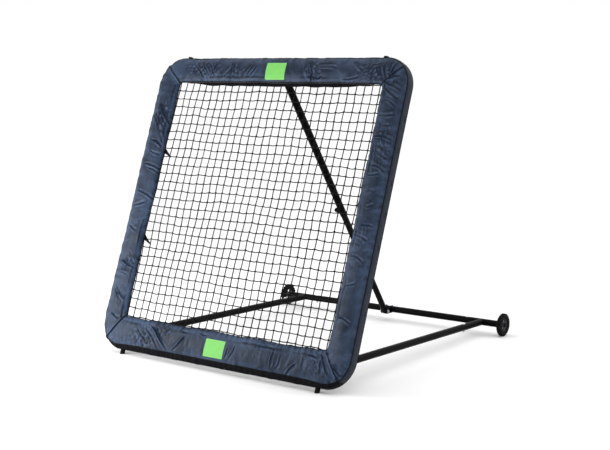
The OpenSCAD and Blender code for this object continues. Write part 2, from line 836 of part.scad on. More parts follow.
// Fork welded on the rear tube, holding the prop's lower pivot
module prop_rear_bracket() {
    eye_r = prop_pin_d / 2 + 10;
    drop = foot_h - axle_z;
    grip = base_r + 3;
    color(steel) for (s = [-1, 1]) translate([s * foot_cheek, axle_y, axle_z]) rotate([90, 0, 90])
        linear_extrude(height = plate_t, center = true) difference() {
            union() {
                translate([-foot_fore, drop]) circle(r = eye_r);
                polygon([
                    [-foot_fore, drop + eye_r], [-foot_fore, drop - eye_r],
                    [0, -grip], [grip / 2, -grip], [grip / 2, grip], [0, grip]
                ]);
            }
            circle(r = base_r + tiny);
            translate([-foot_fore, drop]) circle(d = prop_pin_d);
        }
}

module prop_rear_bolt() {
    color(zinc) translate([0, foot_y, foot_h])
        cross_bolt(prop_pin_d / 2 - run_fit, foot_cheek + plate_t / 2 + tiny);
}

// The lower prop tube with its round nose and its row of locking holes
module prop_lower_tube() {
    color(steel) on_prop() difference() {
        intersection() {
            translate([0, 0, -foot_nose]) cylinder(r = lower_r, h = lower_top + foot_nose);
            union() {
                translate([-lower_d, -lower_d, 0]) cube([2 * lower_d, 2 * lower_d, lower_top]);
                bar_x(foot_nose, 2 * lower_d);
            }
        }
        translate([0, 0, foot_plug]) cylinder(r = lower_r - tube_wall, h = lower_top);
        bar_x(prop_pin_d / 2, 2 * lower_d);
        for (i = [0 : hole_count - 1])
            translate([0, 0, lock_up + (i - (hole_count - 1) / 2) * hole_pitch])
                rotate([90, 0, 0]) cylinder(d = hole_d, h = lower_d);
    }
}

// Plastic ring on the lower tube's top end that slides in the upper tube
module prop_slide_ring() {
    bore_r = lower_r - tube_wall - 3;
    color(plastic) on_prop() translate([0, 0, lower_top]) difference() {
        union() {
            cylinder(r = upper_r - tube_wall - run_fit, h = ring_len);
            translate([0, 0, -ring_stem]) cylinder(r = lower_r - tube_wall - plug_fit, h = ring_stem + 1);
        }
        translate([0, 0, -2 * ring_stem]) cylinder(r = bore_r, h = 4 * ring_stem);
    }
}

module prop_upper_tube() {
    mouth = lower_shows + bush_flange;
    color(steel) on_prop() difference() {
        translate([0, 0, mouth]) cylinder(r = upper_r, h = upper_top - mouth);
        translate([0, 0, mouth - 1]) cylinder(r = upper_r - tube_wall, h = prop_len);
        translate([0, 0, lock_up]) rotate([90, 0, 0]) cylinder(d = hole_d, h = upper_d);
    }
}

// Plastic bush in the mouth of the upper tube
module prop_guide_bush() {
    color(plastic) on_prop() translate([0, 0, lower_shows]) difference() {
        union() {
            cylinder(r = upper_r, h = bush_flange);
            cylinder(r = upper_r - tube_wall - plug_fit, h = bush_len);
        }
        translate([0, 0, -1]) cylinder(r = lower_r + run_fit, h = 2 * bush_len);
    }
}

// Plug with an eye in the top of the prop; the eye is wide, so the pin finds it at every lean
module prop_head() {
    color(steel) on_prop() difference() {
        union() {
            translate([0, 0, upper_top - head_stem])
                cylinder(r = upper_r - tube_wall - plug_fit, h = head_stem + tiny);
            translate([0, 0, upper_top]) cylinder(r = upper_r, h = head_flange);
            intersection() {
                translate([0, 0, upper_top]) cylinder(r = head_r, h = prop_len - upper_top);
                translate([-head_tongue / 2, -upper_d, 0]) cube([head_tongue, 2 * upper_d, prop_len]);
            }
            translate([0, 0, prop_len]) bar_x(head_r, head_tongue);
        }
        translate([0, 0, prop_len]) bar_x(prop_pin_d / 2 + head_slack, 2 * upper_d);
    }
}

head_cheek = head_tongue / 2 + side_gap + plate_t / 2;

// Fork welded on the top tube, holding the prop's upper pivot pin
module prop_head_bracket() {
    centre = mid + line_half;
    eye_r = prop_pin_d / 2 + 8;
    grip = tube_r / 2;
    color(steel) on_frame() for (s = [-1, 1]) translate([s * head_cheek, 0, 0]) rotate([90, 0, 90])
        linear_extrude(height = plate_t, center = true) difference() {
            union() {
                translate([head_back, head_z]) circle(r = eye_r);
                polygon([
                    [grip, centre - grip], [head_back - eye_r, head_z], [head_back + eye_r, head_z],
                    [tube_r + plate_t, centre], [tube_r + plate_t, centre + grip], [grip, centre + grip]
                ]);
            }
            translate([head_back, head_z]) circle(d = prop_pin_d);
            translate([0, centre]) circle(r = tube_r + tiny);
        }
}

module prop_head_pin() {
    color(zinc) on_frame() translate([0, head_back, head_z])
        cross_bolt(prop_pin_d / 2 - run_fit, head_cheek + plate_t / 2 + tiny);
}

// Threaded housing on the upper tube for the sprung locking pin
module lock_housing() {
    color(steel) on_prop() translate([0, 0, lock_up]) rotate([90, 0, 0]) difference() {
        cylinder(r = lock_r, h = lock_seat);
        rotate([90, 0, 0]) cylinder(r = upper_r + tiny, h = 4 * lock_r, center = true);
        cylinder(d = hole_d, h = 2 * lock_seat);
    }
}

module lock_pin() {
    color(zinc) on_prop() translate([0, 0, lock_up]) rotate([90, 0, 0])
        translate([0, 0, pin_from]) cylinder(r = hole_d / 2 - run_fit, h = pin_len);
}

module lock_knob() {
    pin_end = pin_from + pin_len - lock_seat - knob_gap;
    color(plastic) on_prop() translate([0, 0, lock_up]) rotate([90, 0, 0])
        translate([0, 0, lock_seat + knob_gap]) difference() {
            union() {
                cylinder(r = knob_r, h = knob_side);
                translate([0, 0, knob_side]) button_head(knob_r, knob_dome);
            }
            translate([0, 0, -1]) cylinder(r = hole_d / 2 - run_fit, h = 1 + pin_end);
        }
}

frame_corner_top_left();
frame_corner_top_right();
frame_corner_bottom_left();
frame_corner_bottom_right();
frame_tube_top();
frame_tube_bottom();
frame_tube_left();
frame_tube_right();
frame_bolts();
top_caps();
frame_feet();
net();
net_border_rope();
net_ties();
pad_straps();
pad_tapes();
pad_top();
pad_bottom();
pad_left();
pad_right();
label_top();
label_bottom();
hinge_bracket_left();
hinge_bracket_right();
hinge_bolt_left();
hinge_bolt_right();
side_tube_left();
side_tube_right();
rear_corner_left();
rear_corner_right();
rear_tube();
base_bolts();
rear_end_plugs();
axle_left();
axle_right();
wheel_rim_left();
wheel_rim_right();
tyre_left();
tyre_right();
wheel_cap_left();
wheel_cap_right();
prop_rear_bracket();
prop_rear_bolt();
prop_lower_tube();
prop_slide_ring();
prop_upper_tube();
prop_guide_bush();
prop_head();
prop_head_bracket();
prop_head_pin();
lock_housing();
lock_pin();
lock_knob();
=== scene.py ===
import math

import bpy
import numpy as np
from mathutils import Matrix, Vector
from mathutils.bvhtree import BVHTree


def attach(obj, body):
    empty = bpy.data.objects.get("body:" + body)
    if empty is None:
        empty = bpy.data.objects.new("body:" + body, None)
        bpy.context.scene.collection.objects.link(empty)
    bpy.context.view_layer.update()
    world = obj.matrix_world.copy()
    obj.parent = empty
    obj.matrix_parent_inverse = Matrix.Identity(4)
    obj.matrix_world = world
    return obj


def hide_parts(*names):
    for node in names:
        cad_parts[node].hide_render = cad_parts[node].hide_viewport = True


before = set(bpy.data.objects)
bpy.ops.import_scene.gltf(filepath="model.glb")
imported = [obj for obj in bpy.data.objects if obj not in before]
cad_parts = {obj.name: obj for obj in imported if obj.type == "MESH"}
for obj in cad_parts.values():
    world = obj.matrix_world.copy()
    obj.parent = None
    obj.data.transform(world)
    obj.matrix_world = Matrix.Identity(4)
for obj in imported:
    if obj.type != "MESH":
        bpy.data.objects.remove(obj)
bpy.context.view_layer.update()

# ---- Floor, light and camera ----
# A plain white studio floor that runs out into white, under an even sky. A softbox stands low to
# the left in front, a broad lamp overhead lays the soft shadow under the object, and a weak one
# lights its right side and its back.


class Shade:
    """An output socket in a node tree. Sums, differences and products of it add Math nodes."""

    def __init__(self, tree, socket=None):
        self.tree = tree
        self.socket = socket

    def node(self, kind, inputs=(), out=0, **settings):
        made = self.tree.nodes.new("ShaderNode" + kind)
        for name, value in settings.items():
            setattr(made, name, value)
        for key, value in dict(inputs).items():
            if isinstance(value, Shade):
                self.tree.links.new(value.socket, made.inputs[key])
            else:
                made.inputs[key].default_value = value
        return Shade(self.tree, made.outputs[out] if len(made.outputs) else None)

    def math(self, operation, *values):
        return self.node("Math", enumerate(values), operation=operation)

    def __add__(self, other):
        return self.math("ADD", self, other)

    def __sub__(self, other):
        return self.math("SUBTRACT", self, other)

    def __rsub__(self, other):
        return self.math("SUBTRACT", other, self)

    def __mul__(self, other):
        return self.math("MULTIPLY", self, other)

    __radd__ = __add__
    __rmul__ = __mul__

    def size(self):
        return self.math("ABSOLUTE", self)

    def ripple(self, pitch):
        """Sine waves of this length, from -1 to 1."""
        return self.math("SINE", self * (2 * math.pi / pitch))

    def above(self, edge, blur):
        """0 below edge and 1 above it, with a soft step blur wide."""
        return self.node(
            "MapRange",
            {"Value": self, "From Min": edge - blur / 2, "From Max": edge + blur / 2},
            interpolation_type="SMOOTHSTEP",
        )

    def mix(self, low, high):
        """A colour from low to high as this value goes from 0 to 1."""
        return self.node("Mix", {0: self, 6: low, 7: high}, out=2, data_type="RGBA")


def new_material(name):
    made = bpy.data.materials.new(name)
    made.use_nodes = True
    made.node_tree.nodes.clear()
    return made, Shade(made.node_tree)


def direct(pen):
    """1 for camera rays and mirrored rays, 0 for the light that falls on the object."""
    return pen.node("LightPath", out="Is Camera Ray") + pen.node("LightPath", out="Is Glossy Ray")


scene = bpy.context.scene
scene.view_settings.view_transform = "Standard"

sky_level = 0.27
floor_glow = 0.04
world = bpy.data.worlds.new("studio")
scene.world = world
world.use_nodes = True
world.node_tree.nodes.clear()
pen = Shade(world.node_tree)
sky = pen.node(
    "Background", {"Color": (1, 1, 1, 1), "Strength": direct(pen) * (1 - sky_level) + sky_level}
)
pen.node("OutputWorld", {"Surface": sky})

bpy.ops.mesh.primitive_plane_add(size=80)
floor = bpy.context.object
floor.name = "floor"
floor_paint, pen = new_material("floor_paint")
glow = pen.node("Emission", {"Color": (1, 1, 1, 1), "Strength": direct(pen) * floor_glow})
matt = pen.node("BsdfDiffuse", {"Color": (0.92, 0.92, 0.92, 1)})
pen.node("OutputMaterial", {"Surface": pen.node("AddShader", {0: glow, 1: matt})})
floor.data.materials.append(floor_paint)

# Name, kind, strength, place, aim, and breadth: degrees for a sun, metres for an area lamp.
lamps = (
    ("top_lamp", "SUN", 2.4, (0, 0, 3), (-0.03, -0.06, -1), 110),
    ("softbox", "AREA", 84, (-2.2, -2.3, 0.9), (1.8, 1.8, -0.05), 1.4),
    ("back_lamp", "SUN", 0.8, (3, 2, 2), (-0.75, -0.55, -0.35), 40),
)
for name, kind, power, stand, aim, breadth in lamps:
    lamp = bpy.data.objects.new(name, bpy.data.lights.new(name, kind))
    lamp.data.energy = power
    if kind == "SUN":
        lamp.data.angle = math.radians(breadth)
    else:
        lamp.data.size = breadth
    lamp.location = stand
    lamp.visible_camera = False
    lamp.rotation_euler = Vector(aim).to_track_quat("-Z", "Y").to_euler()
    scene.collection.objects.link(lamp)

heading = math.radians(37.159)
dip = math.radians(7.496)
look = Vector((
    -math.sin(heading) * math.cos(dip), math.cos(heading) * math.cos(dip), -math.sin(dip),
))
camera = bpy.data.objects.new("camera", bpy.data.cameras.new("camera"))
camera.location = (3.9333, -5.2583, 1.5207)
camera.rotation_euler = look.to_track_quat("-Z", "Y").to_euler()
camera.data.sensor_width = 36
camera.data.lens = 71.19
scene.collection.objects.link(camera)
scene.camera = camera

# ---- Steel tubes and brackets ----
# Round steel tubes, bent, swaged or plugged at their ends, with plates welded on. All are powder
# coated black: a slightly pebbled, half-matt skin with faint scuffs.


def dress(material, *names):
    """Gives CAD nodes their finish."""
    for name in names:
        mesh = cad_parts[name].data
        mesh.materials.clear()
        mesh.materials.append(material)


def finish(pen, colour, rough, gloss, relief, part, deep, metal=0.0, under=None):
    """Ends a material. The relief stands deep metres high and shows by part; under lies below it."""
    bump = {"Height": relief, "Strength": part, "Distance": deep}
    if under is not None:
        bump["Normal"] = under
    skin = pen.node(
        "BsdfPrincipled",
        {
            "Base Color": colour, "Metallic": metal, "Roughness": rough,
            "Specular IOR Level": gloss, "Normal": pen.node("Bump", bump),
        },
    )
    pen.node("OutputMaterial", {"Surface": skin})


black_steel, pen = new_material("black_steel")
place = pen.node("TexCoord", out="Object")
pebble = pen.node("TexNoise", {"Vector": place, "Scale": 900, "Detail": 2})
patch = pen.node("TexNoise", {"Vector": place, "Scale": 9, "Detail": 4})
scuff = pen.node("TexNoise", {"Vector": place, "Scale": 140, "Detail": 6, "Roughness": 0.75})
scuff = scuff.above(0.68, 0.06) * patch.above(0.52, 0.1)
coat = (scuff * 0.4).mix((0.0018, 0.0018, 0.0024, 1), (0.035, 0.035, 0.037, 1))
rough = 0.3 + 0.12 * patch + 0.2 * scuff
finish(pen, coat, rough, gloss=0.03, relief=pebble, part=0.25, deep=0.0004)
dress(
    black_steel,
    "frame_corner_top_left", "frame_corner_top_right",
    "frame_corner_bottom_left", "frame_corner_bottom_right",
    "frame_tube_top", "frame_tube_bottom", "frame_tube_left", "frame_tube_right",
    "hinge_bracket_left", "hinge_bracket_right", "side_tube_left", "side_tube_right",
    "rear_corner_left", "rear_corner_right", "rear_tube", "prop_rear_bracket",
    "prop_upper_tube", "prop_head", "prop_head_bracket", "lock_housing",
)

# ---- Sliding tube of the prop ----
# The lower prop tube has the same black coat, polished and lightly scored lengthwise where the
# bush of the upper tube rubs on it.

prop_lean = 34.7
slide_steel, pen = new_material("slide_steel")
place = pen.node("TexCoord", out="Object")
prop_turn = pen.node("Mapping", {"Vector": place, "Rotation": (math.radians(-prop_lean), 0, 0)})
scored = pen.node("Mapping", {"Vector": prop_turn, "Scale": (420, 420, 5)})
score = pen.node("TexNoise", {"Vector": scored, "Scale": 1, "Detail": 3}).above(0.62, 0.08)
pebble = pen.node("TexNoise", {"Vector": place, "Scale": 900, "Detail": 2})
coat = (score * 0.4).mix((0.002, 0.002, 0.0025, 1), (0.035, 0.035, 0.037, 1))
finish(pen, coat, 0.3 + 0.18 * score, gloss=0.04, relief=pebble, part=0.15, deep=0.0003)
dress(slide_steel, "prop_lower_tube")

# ---- Bolts and pins ----
# Zinc plated bolts, nuts and pins, a little dulled and cloudy.

zinc, pen = new_material("zinc")
place = pen.node("TexCoord", out="Object")
cloud = pen.node("TexNoise", {"Vector": place, "Scale": 260, "Detail": 5, "Roughness": 0.6})
grain = pen.node("TexNoise", {"Vector": place, "Scale": 1600, "Detail": 2})
plating = cloud.mix((0.36, 0.37, 0.38, 1), (0.62, 0.63, 0.64, 1))
finish(pen, plating, 0.26 + 0.2 * cloud, gloss=0.5, relief=grain, part=0.2, deep=0.0002, metal=1.0)
dress(
    zinc,
    "frame_bolts", "hinge_bolt_left", "hinge_bolt_right", "base_bolts", "axle_left", "axle_right",
    "prop_rear_bolt", "prop_head_pin", "lock_pin",
)

# ---- Plastic caps, feet, plugs, bushes and knob ----
# Injection moulded black plastic with a fine spark-eroded grain.

black_plastic, pen = new_material("black_plastic")
place = pen.node("TexCoord", out="Object")
grain = pen.node("TexVoronoi", {"Vector": place, "Scale": 1300}, out="Distance")
patch = pen.node("TexNoise", {"Vector": place, "Scale": 40, "Detail": 3})
plastic = patch.mix((0.0025, 0.0025, 0.003, 1), (0.007, 0.007, 0.008, 1))
finish(pen, plastic, 0.42 + 0.16 * patch, gloss=0.04, relief=grain, part=0.35, deep=0.0003)
dress(
    black_plastic,
    "top_caps", "rear_end_plugs", "wheel_cap_left", "wheel_cap_right",
    "prop_slide_ring", "prop_guide_bush", "lock_knob",
)

rubber, pen = new_material("rubber")
place = pen.node("TexCoord", out="Object")
grain = pen.node("TexNoise", {"Vector": place, "Scale": 500, "Detail": 4})
dust = pen.node("TexNoise", {"Vector": place, "Scale": 30, "Detail": 5}).above(0.55, 0.3)
sooty = (dust * 0.3).mix((0.006, 0.006, 0.006, 1), (0.035, 0.034, 0.032, 1))
finish(pen, sooty, 0.7 + 0.15 * dust, gloss=0.04, relief=grain, part=0.3, deep=0.0005)
dress(rubber, "frame_feet")

# ---- Wheels ----
# Spoked plastic rims with moulded rubber tyres; the tread is dull and a little dusty.

rim_plastic, pen = new_material("rim_plastic")
place = pen.node("TexCoord", out="Object")
grain = pen.node("TexVoronoi", {"Vector": place, "Scale": 1000}, out="Distance")
patch = pen.node("TexNoise", {"Vector": place, "Scale": 35, "Detail": 3})
plastic = patch.mix((0.045, 0.048, 0.054, 1), (0.085, 0.090, 0.100, 1))
finish(pen, plastic, 0.3 + 0.16 * patch, gloss=0.3, relief=grain, part=0.3, deep=0.0003)
dress(rim_plastic, "wheel_rim_left", "wheel_rim_right")

tyre_rubber, pen = new_material("tyre_rubber")
place = pen.node("TexCoord", out="Object")
grain = pen.node("TexNoise", {"Vector": place, "Scale": 420, "Detail": 5})
dust = pen.node("TexNoise", {"Vector": place, "Scale": 45, "Detail": 6, "Roughness": 0.65})
dust = dust.above(0.5, 0.35)
sooty = (dust * 0.4).mix((0.003, 0.003, 0.003, 1), (0.028, 0.027, 0.025, 1))
finish(pen, sooty, 0.66 + 0.2 * dust, gloss=0.04, relief=grain, part=0.35, deep=0.0006)
dress(tyre_rubber, "tyre_left", "tyre_right")

# ---- Net ----
# Knotted net of thin black cord, laced to its border rope on all four sides. Each mesh is a
# cell of two strands and a knot; the level strands hang a little between their knots.

# Half the frame's side, its lean, and the middle of its lower edge. Pieces of the frame are drawn
# upright round the origin and then leant back.
mid = 0.82
lean = 20
frame_foot = (0, -0.822308, 0.02)
lean_back = (
    Matrix.Translation(frame_foot)
    @ Matrix.Rotation(math.radians(-lean), 4, "X")
    @ Matrix.Translation((0, 0, mid))
)
# Reach of the net's border from its middle, and the radius of its corners.
net_reach = 0.763
net_corner = 0.098
cell = (0.0476, 0.0470)
cells = (34, 35)
first_knot = (-0.0139 - 16 * cell[0], 0.0219 - 17 * cell[1])
strand_r = 0.0028
strand_cuts = 3
strand_sag = 0.0022
knot_size = (0.0062, 0.0044, 0.0058)


def only_selected(obj):
    bpy.ops.object.select_all(action="DESELECT")
    obj.select_set(True)
    bpy.context.view_layer.objects.active = obj


def strand(length, turn, middle):
    """A thin open tube in the net's plane, cut into short lengths."""
    bpy.ops.object.select_all(action="DESELECT")
    bpy.ops.mesh.primitive_cylinder_add(
        vertices=5, radius=strand_r, depth=length, end_fill_type="NOTHING",
        location=middle, rotation=(0, turn, 0),
    )
    made = bpy.context.object
    bpy.ops.object.transform_apply(location=False, rotation=False, scale=True)
    for edge in made.data.edges:
        a, b = (made.data.vertices[v].co for v in edge.vertices)
        edge.select = abs(a.z - b.z) > length / 2
    bpy.ops.object.mode_set(mode="EDIT")
    bpy.ops.mesh.subdivide(number_cuts=strand_cuts)
    bpy.ops.object.mode_set(mode="OBJECT")
    bpy.ops.object.transform_apply(location=True, rotation=True, scale=True)
    return made


def smooth_noise(x, y, wave, seed, count=16):
    """Smooth noise of about -1 to 1, with bumps wave[0] by wave[1] across."""
    rng = np.random.default_rng(seed)
    total = np.zeros(np.broadcast(x, y).shape)
    for _ in range(count):
        turns = rng.normal(size=2) * 0.5
        total += np.sin(
            2 * np.pi * (turns[0] * x / wave[0] + turns[1] * y / wave[1] + rng.uniform())
        )
    return total * 1.2 / math.sqrt(count)


bpy.ops.object.select_all(action="DESELECT")
level = strand(cell[0], math.pi / 2, (cell[0] / 2, 0, 0))
for v in level.data.vertices:
    along = 2 * v.co.x / cell[0] - 1
    v.co.z -= strand_sag * (1 - along * along)
upright = strand(cell[1], 0, (0, 0, cell[1] / 2))
bpy.ops.object.select_all(action="DESELECT")
bpy.ops.mesh.primitive_ico_sphere_add(subdivisions=1, radius=1, location=(0, 0, 0))
knot = bpy.context.object
knot.scale = knot_size
bpy.ops.object.transform_apply(location=True, rotation=True, scale=True)
only_selected(knot)
level.select_set(True)
upright.select_set(True)
bpy.ops.object.join()
net = bpy.context.object
net.name = "knotted_net"
for count, step in zip(cells, ((cell[0], 0, 0), (0, 0, cell[1]))):
    array = net.modifiers.new("array", "ARRAY")
    array.count = count
    array.use_relative_offset = False
    array.use_constant_offset = True
    array.constant_offset_displace = step
    array.use_merge_vertices = True
    array.merge_threshold = 0.0002
    bpy.ops.object.modifier_apply(modifier=array.name)
net.data.transform(Matrix.Translation((first_knot[0], 0, first_knot[1])))
bpy.ops.object.mode_set(mode="EDIT")
for quarter in range(4):
    for step in range(5):
        a = math.radians(90 * quarter + 18 * step)
        run = net_reach - net_corner
        span = run * (abs(math.cos(a)) + abs(math.sin(a))) + net_corner
        out = Vector((math.cos(a), 0, math.sin(a)))
        bpy.ops.mesh.select_all(action="SELECT")
        bpy.ops.mesh.bisect(plane_co=out * span, plane_no=out, clear_outer=True)
bpy.ops.object.mode_set(mode="OBJECT")
co = np.zeros(len(net.data.vertices) * 3)
net.data.vertices.foreach_get("co", co)
co = co.reshape(-1, 3)
x, z = co[:, 0].copy(), co[:, 2].copy()
inside = np.clip((net_reach - np.maximum(abs(x), abs(z))) / 0.06, 0, 1)
for axis, uneven, seed in ((0, 0.0016, 3), (2, 0.0018, 5)):
    shift = uneven * smooth_noise(x, z, (0.09, 0.09), seed)
    shift += 0.003 * smooth_noise(x, z, (0.5, 0.5), seed + 1)
    co[:, axis] += inside * shift
co[:, 1] += inside * 0.0012 * smooth_noise(x, z, (0.12, 0.12), 7)
net.data.vertices.foreach_set("co", co.ravel())
net.data.transform(lean_back)
net.data.shade_smooth()
net_cord, pen = new_material("net_cord")
place = pen.node("TexCoord", out="Object")
twist = pen.node(
    "TexWave", {"Vector": place, "Scale": 420, "Distortion": 2.5, "Detail": 1},
    bands_direction="DIAGONAL",
)
fuzz = pen.node("TexNoise", {"Vector": place, "Scale": 1500, "Detail": 3})
fibre = twist.mix((0.004, 0.004, 0.004, 1), (0.014, 0.014, 0.014, 1))
finish(pen, fibre, 0.55 + 0.2 * fuzz, gloss=0.02, relief=twist + 0.3 * fuzz, part=0.5, deep=0.0004)
net.data.materials.append(net_cord)
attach(net, "frame")
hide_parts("net")

# ---- Border rope ----
# A laid rope of 6 mm that the net's outer strands are tied to, in one ring with round corners.


def mesh_piece(name, points, faces, uvs, material):
    """A mesh from points (n, 3), faces and one (u, v) for each corner of each face, in metres."""
    mesh = bpy.data.meshes.new(name)
    mesh.from_pydata(np.asarray(points).tolist(), [], faces)
    layer = mesh.uv_layers.new(name="cloth_uv")
    layer.data.foreach_set("uv", np.asarray(uvs, float).ravel())
    mesh.materials.append(material)
    made = bpy.data.objects.new(name, mesh)
    scene.collection.objects.link(made)
    return made


def round_run(points):
    """Distance along a ring of points to each of them, and back to the first."""
    steps = np.diff(points, axis=0, append=points[:1])
    return np.concatenate([[0], np.cumsum(np.linalg.norm(steps, axis=1))])


def swept(sections, closed_path=False):
    """Faces and corner UVs of a grid of sections (n, m, 3), with flat ends on an open path."""
    n, m = sections.shape[:2]
    along = round_run(sections.mean(axis=1))
    across = round_run(sections[n // 2])
    faces, uvs = [], []
    for i in range(n if closed_path else n - 1):
        for j in range(m):
            i2, j2 = (i + 1) % n, (j + 1) % m
            faces.append((i * m + j, i * m + j2, i2 * m + j2, i2 * m + j))
            uvs += [
                (along[i], across[j]), (along[i], across[j + 1]),
                (along[i + 1], across[j + 1]), (along[i + 1], across[j]),
            ]
    if not closed_path:
        for ring, order in ((0, range(m - 1, -1, -1)), (n - 1, range(m))):
            faces.append([ring * m + j for j in order])
            uvs += [(along[ring], across[j]) for j in order]
    return faces, uvs


def tube(name, points, radius, sides, material, closed=False):
    """A round tube along points (n, 3)."""
    points = np.asarray(points, float)
    if closed:
        ahead, behind = np.roll(points, -1, 0), np.roll(points, 1, 0)
    else:
        ahead, behind = np.vstack([points[1:], points[-1:]]), np.vstack([points[:1], points[:-1]])
    way = ahead - behind
    way /= np.linalg.norm(way, axis=1)[:, None]
    side = np.cross(way, [0, 1, 0])
    side /= np.linalg.norm(side, axis=1)[:, None]
    up = np.cross(side, way)
    turn = np.linspace(0, 2 * np.pi, sides, endpoint=False)
    sections = points[:, None] + radius * (
        np.cos(turn)[None, :, None] * side[:, None] + np.sin(turn)[None, :, None] * up[:, None]
    )
    faces, uvs = swept(sections, closed_path=closed)
    made = mesh_piece(name, sections.reshape(-1, 3), faces, uvs, material)
    made.data.shade_smooth()
    return made


rope_r = 0.003
rope_points = []
for quarter in range(4):
    for step in range(9):
        a = math.radians(-90 + 90 * quarter + 90 * step / 8)
        centre = (net_reach - net_corner) * np.array(
            [(1, -1), (1, 1), (-1, 1), (-1, -1)][quarter]
        )
        rope_points.append((
            centre[0] + net_corner * math.cos(a), 0, centre[1] + net_corner * math.sin(a)
        ))
rope_cloth, pen = new_material("rope_cloth")
lay = pen.node("TexCoord", out="UV")
lay = pen.node("Mapping", {"Vector": lay, "Rotation": (0, 0, math.radians(40))})
twist = pen.node("TexWave", {"Vector": lay, "Scale": 70, "Distortion": 0.4})
place = pen.node("TexCoord", out="Object")
fuzz = pen.node("TexNoise", {"Vector": place, "Scale": 1400, "Detail": 3})
fibre = twist.mix((0.004, 0.004, 0.004, 1), (0.016, 0.016, 0.017, 1))
finish(pen, fibre, 0.6 + 0.2 * fuzz, gloss=0.02, relief=twist + 0.2 * fuzz, part=0.8, deep=0.0008)
rope = tube("border_rope", rope_points, rope_r, 10, rope_cloth, closed=True)
rope.data.transform(lean_back)
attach(rope, "frame")
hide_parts("net_border_rope")

# ---- Webbing ties, closing straps and tapes ----
# Black polyester webbing, woven with fine ribs. Ties loop round a tube and the border rope,
# straps close each sleeve behind its tube, and two tapes tie the left pad to the net.

tube_r = 0.019
rail = 0.7951
tie_pitch = 0.159171
tie_w, strap_w = 0.020, 0.030
web_thick = 0.0011
strap_thick = 0.0012


def cloth_lay(pen):
    """How far along and across its cloth a point lies, in metres."""
    lay = pen.node("TexCoord", out="UV")
    return [pen.node("SeparateXYZ", {"Vector": lay}, out=axis) for axis in "XY"]


def woven(along, across, pitch, cross_pitch):
    """Height of a plain weave, 0 to 1."""
    return along.ripple(pitch) * across.ripple(cross_pitch) * 0.5 + 0.5


webbing, pen = new_material("webbing")
weave = woven(*cloth_lay(pen), 0.0011, 0.0018)
place = pen.node("TexCoord", out="Object")
fuzz = pen.node("TexNoise", {"Vector": place, "Scale": 900, "Detail": 3})
yarn = weave.mix((0.004, 0.004, 0.005, 1), (0.016, 0.016, 0.018, 1))
finish(pen, yarn, 0.62 + 0.2 * fuzz, gloss=0.04, relief=weave, part=0.5, deep=0.0003)


def strip(name, path, across, width, thick, closed=False):
    """A flat strap whose middle follows path (n, 3), its width (one or n) along across."""
    path = np.asarray(path, float)
    across = np.asarray(across, float) / np.linalg.norm(across)
    if closed:
        way = np.roll(path, -1, 0) - np.roll(path, 1, 0)
    else:
        way = np.gradient(path, axis=0)
    way /= np.linalg.norm(way, axis=1)[:, None]
    face = np.cross(way, across)
    rim = 0.6 * thick
    outline = [
        (-0.5, 0, 0), (-0.5, rim, thick / 2), (0.5, -rim, thick / 2),
        (0.5, 0, 0), (0.5, -rim, -thick / 2), (-0.5, rim, -thick / 2),
    ]
    widths = np.broadcast_to(width, len(path))[:, None]
    sections = np.stack([path + (a * widths + r) * across + b * face for a, r, b in outline], axis=1)
    faces, uvs = swept(sections, closed_path=closed)
    return mesh_piece(name, sections.reshape(-1, 3), faces, uvs, webbing)


def side_turn(quarter):
    """Turns a piece drawn for the lower rail to the left (1), top (2) or right (3)."""
    return Matrix.Rotation(math.radians(90 * quarter), 4, "Y")


def gather(name, pieces):
    """Joins like pieces into one."""
    only_selected(pieces[0])
    for piece in pieces:
        piece.select_set(True)
    bpy.ops.object.join()
    pieces[0].name = name
    pieces[0].data.transform(lean_back)
    return pieces[0]


def tie_at(k):
    return (k - 3.5) * tie_pitch


tie_face = tube_r + 0.0008
rope_face = 0.0038
rope_gap = rail - net_reach
wrap = math.asin((tie_face - rope_face) / rope_gap)
loop = [
    (tie_face * math.cos(a), tie_face * math.sin(a))
    for a in np.linspace(math.pi - wrap, 2 * math.pi + wrap, 26)
]
loop += [
    (rope_face * math.cos(a), rope_gap + rope_face * math.sin(a))
    for a in np.linspace(wrap, math.pi - wrap, 9)
]
ties = []
for quarter in range(4):
    for k in range(8):
        path = [(tie_at(k), -d, -rail + s) for d, s in loop]
        tie = strip("tie", path, (1, 0, 0), tie_w, web_thick, closed=True)
        tie.data.transform(side_turn(quarter))
        ties.append(tie)
ties = gather("webbing_ties", ties)
ties.data.shade_smooth()
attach(ties, "frame")
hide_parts("net_ties")

sleeve_r = 0.0249
strap_aside = 0.036
straps = []
for quarter in range(4):
    for k in range(7):
        path = []
        for a in np.linspace(math.radians(192), math.radians(408), 40):
            settle = np.clip((a - math.radians(234)) / math.radians(26), 0, 1)
            settle = settle * settle * (3 - 2 * settle)
            r = (sleeve_r + 0.0008) * (1 - settle) + (tube_r + 0.0009) * settle
            path.append((tie_at(k + 0.5) + strap_aside, -r * math.sin(a), -rail + r * math.cos(a)))
        strap = strip("strap", path, (1, 0, 0), strap_w, strap_thick)
        strap.data.transform(side_turn(quarter))
        straps.append(strap)
straps = gather("closing_straps", straps)
straps.data.shade_smooth()
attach(straps, "frame")
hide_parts("pad_straps")

# Where each tape leaves its sleeve and where it meets the net. It tapers towards the net.
tape_runs = (((-0.690, 0.2945), (-0.624, 0.2525)), ((-0.688, -0.198), (-0.628, -0.236)))
tapes = []
for top, end in tape_runs:
    share = np.linspace(0, 1, 10)
    x, z = (top[i] + (end[i] - top[i]) * share for i in (0, 1))
    depth = -0.0024 - 0.0016 * np.sin(np.pi * share)
    width_way = np.cross([end[0] - top[0], 0, end[1] - top[1]], [0, 1, 0])
    width = 0.030 - 0.022 * share ** 0.8
    tapes.append(strip("tape", np.stack([x, depth, z], 1), width_way, width, web_thick))
tapes = gather("net_tapes", tapes)
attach(tapes, "frame")
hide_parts("pad_tapes")

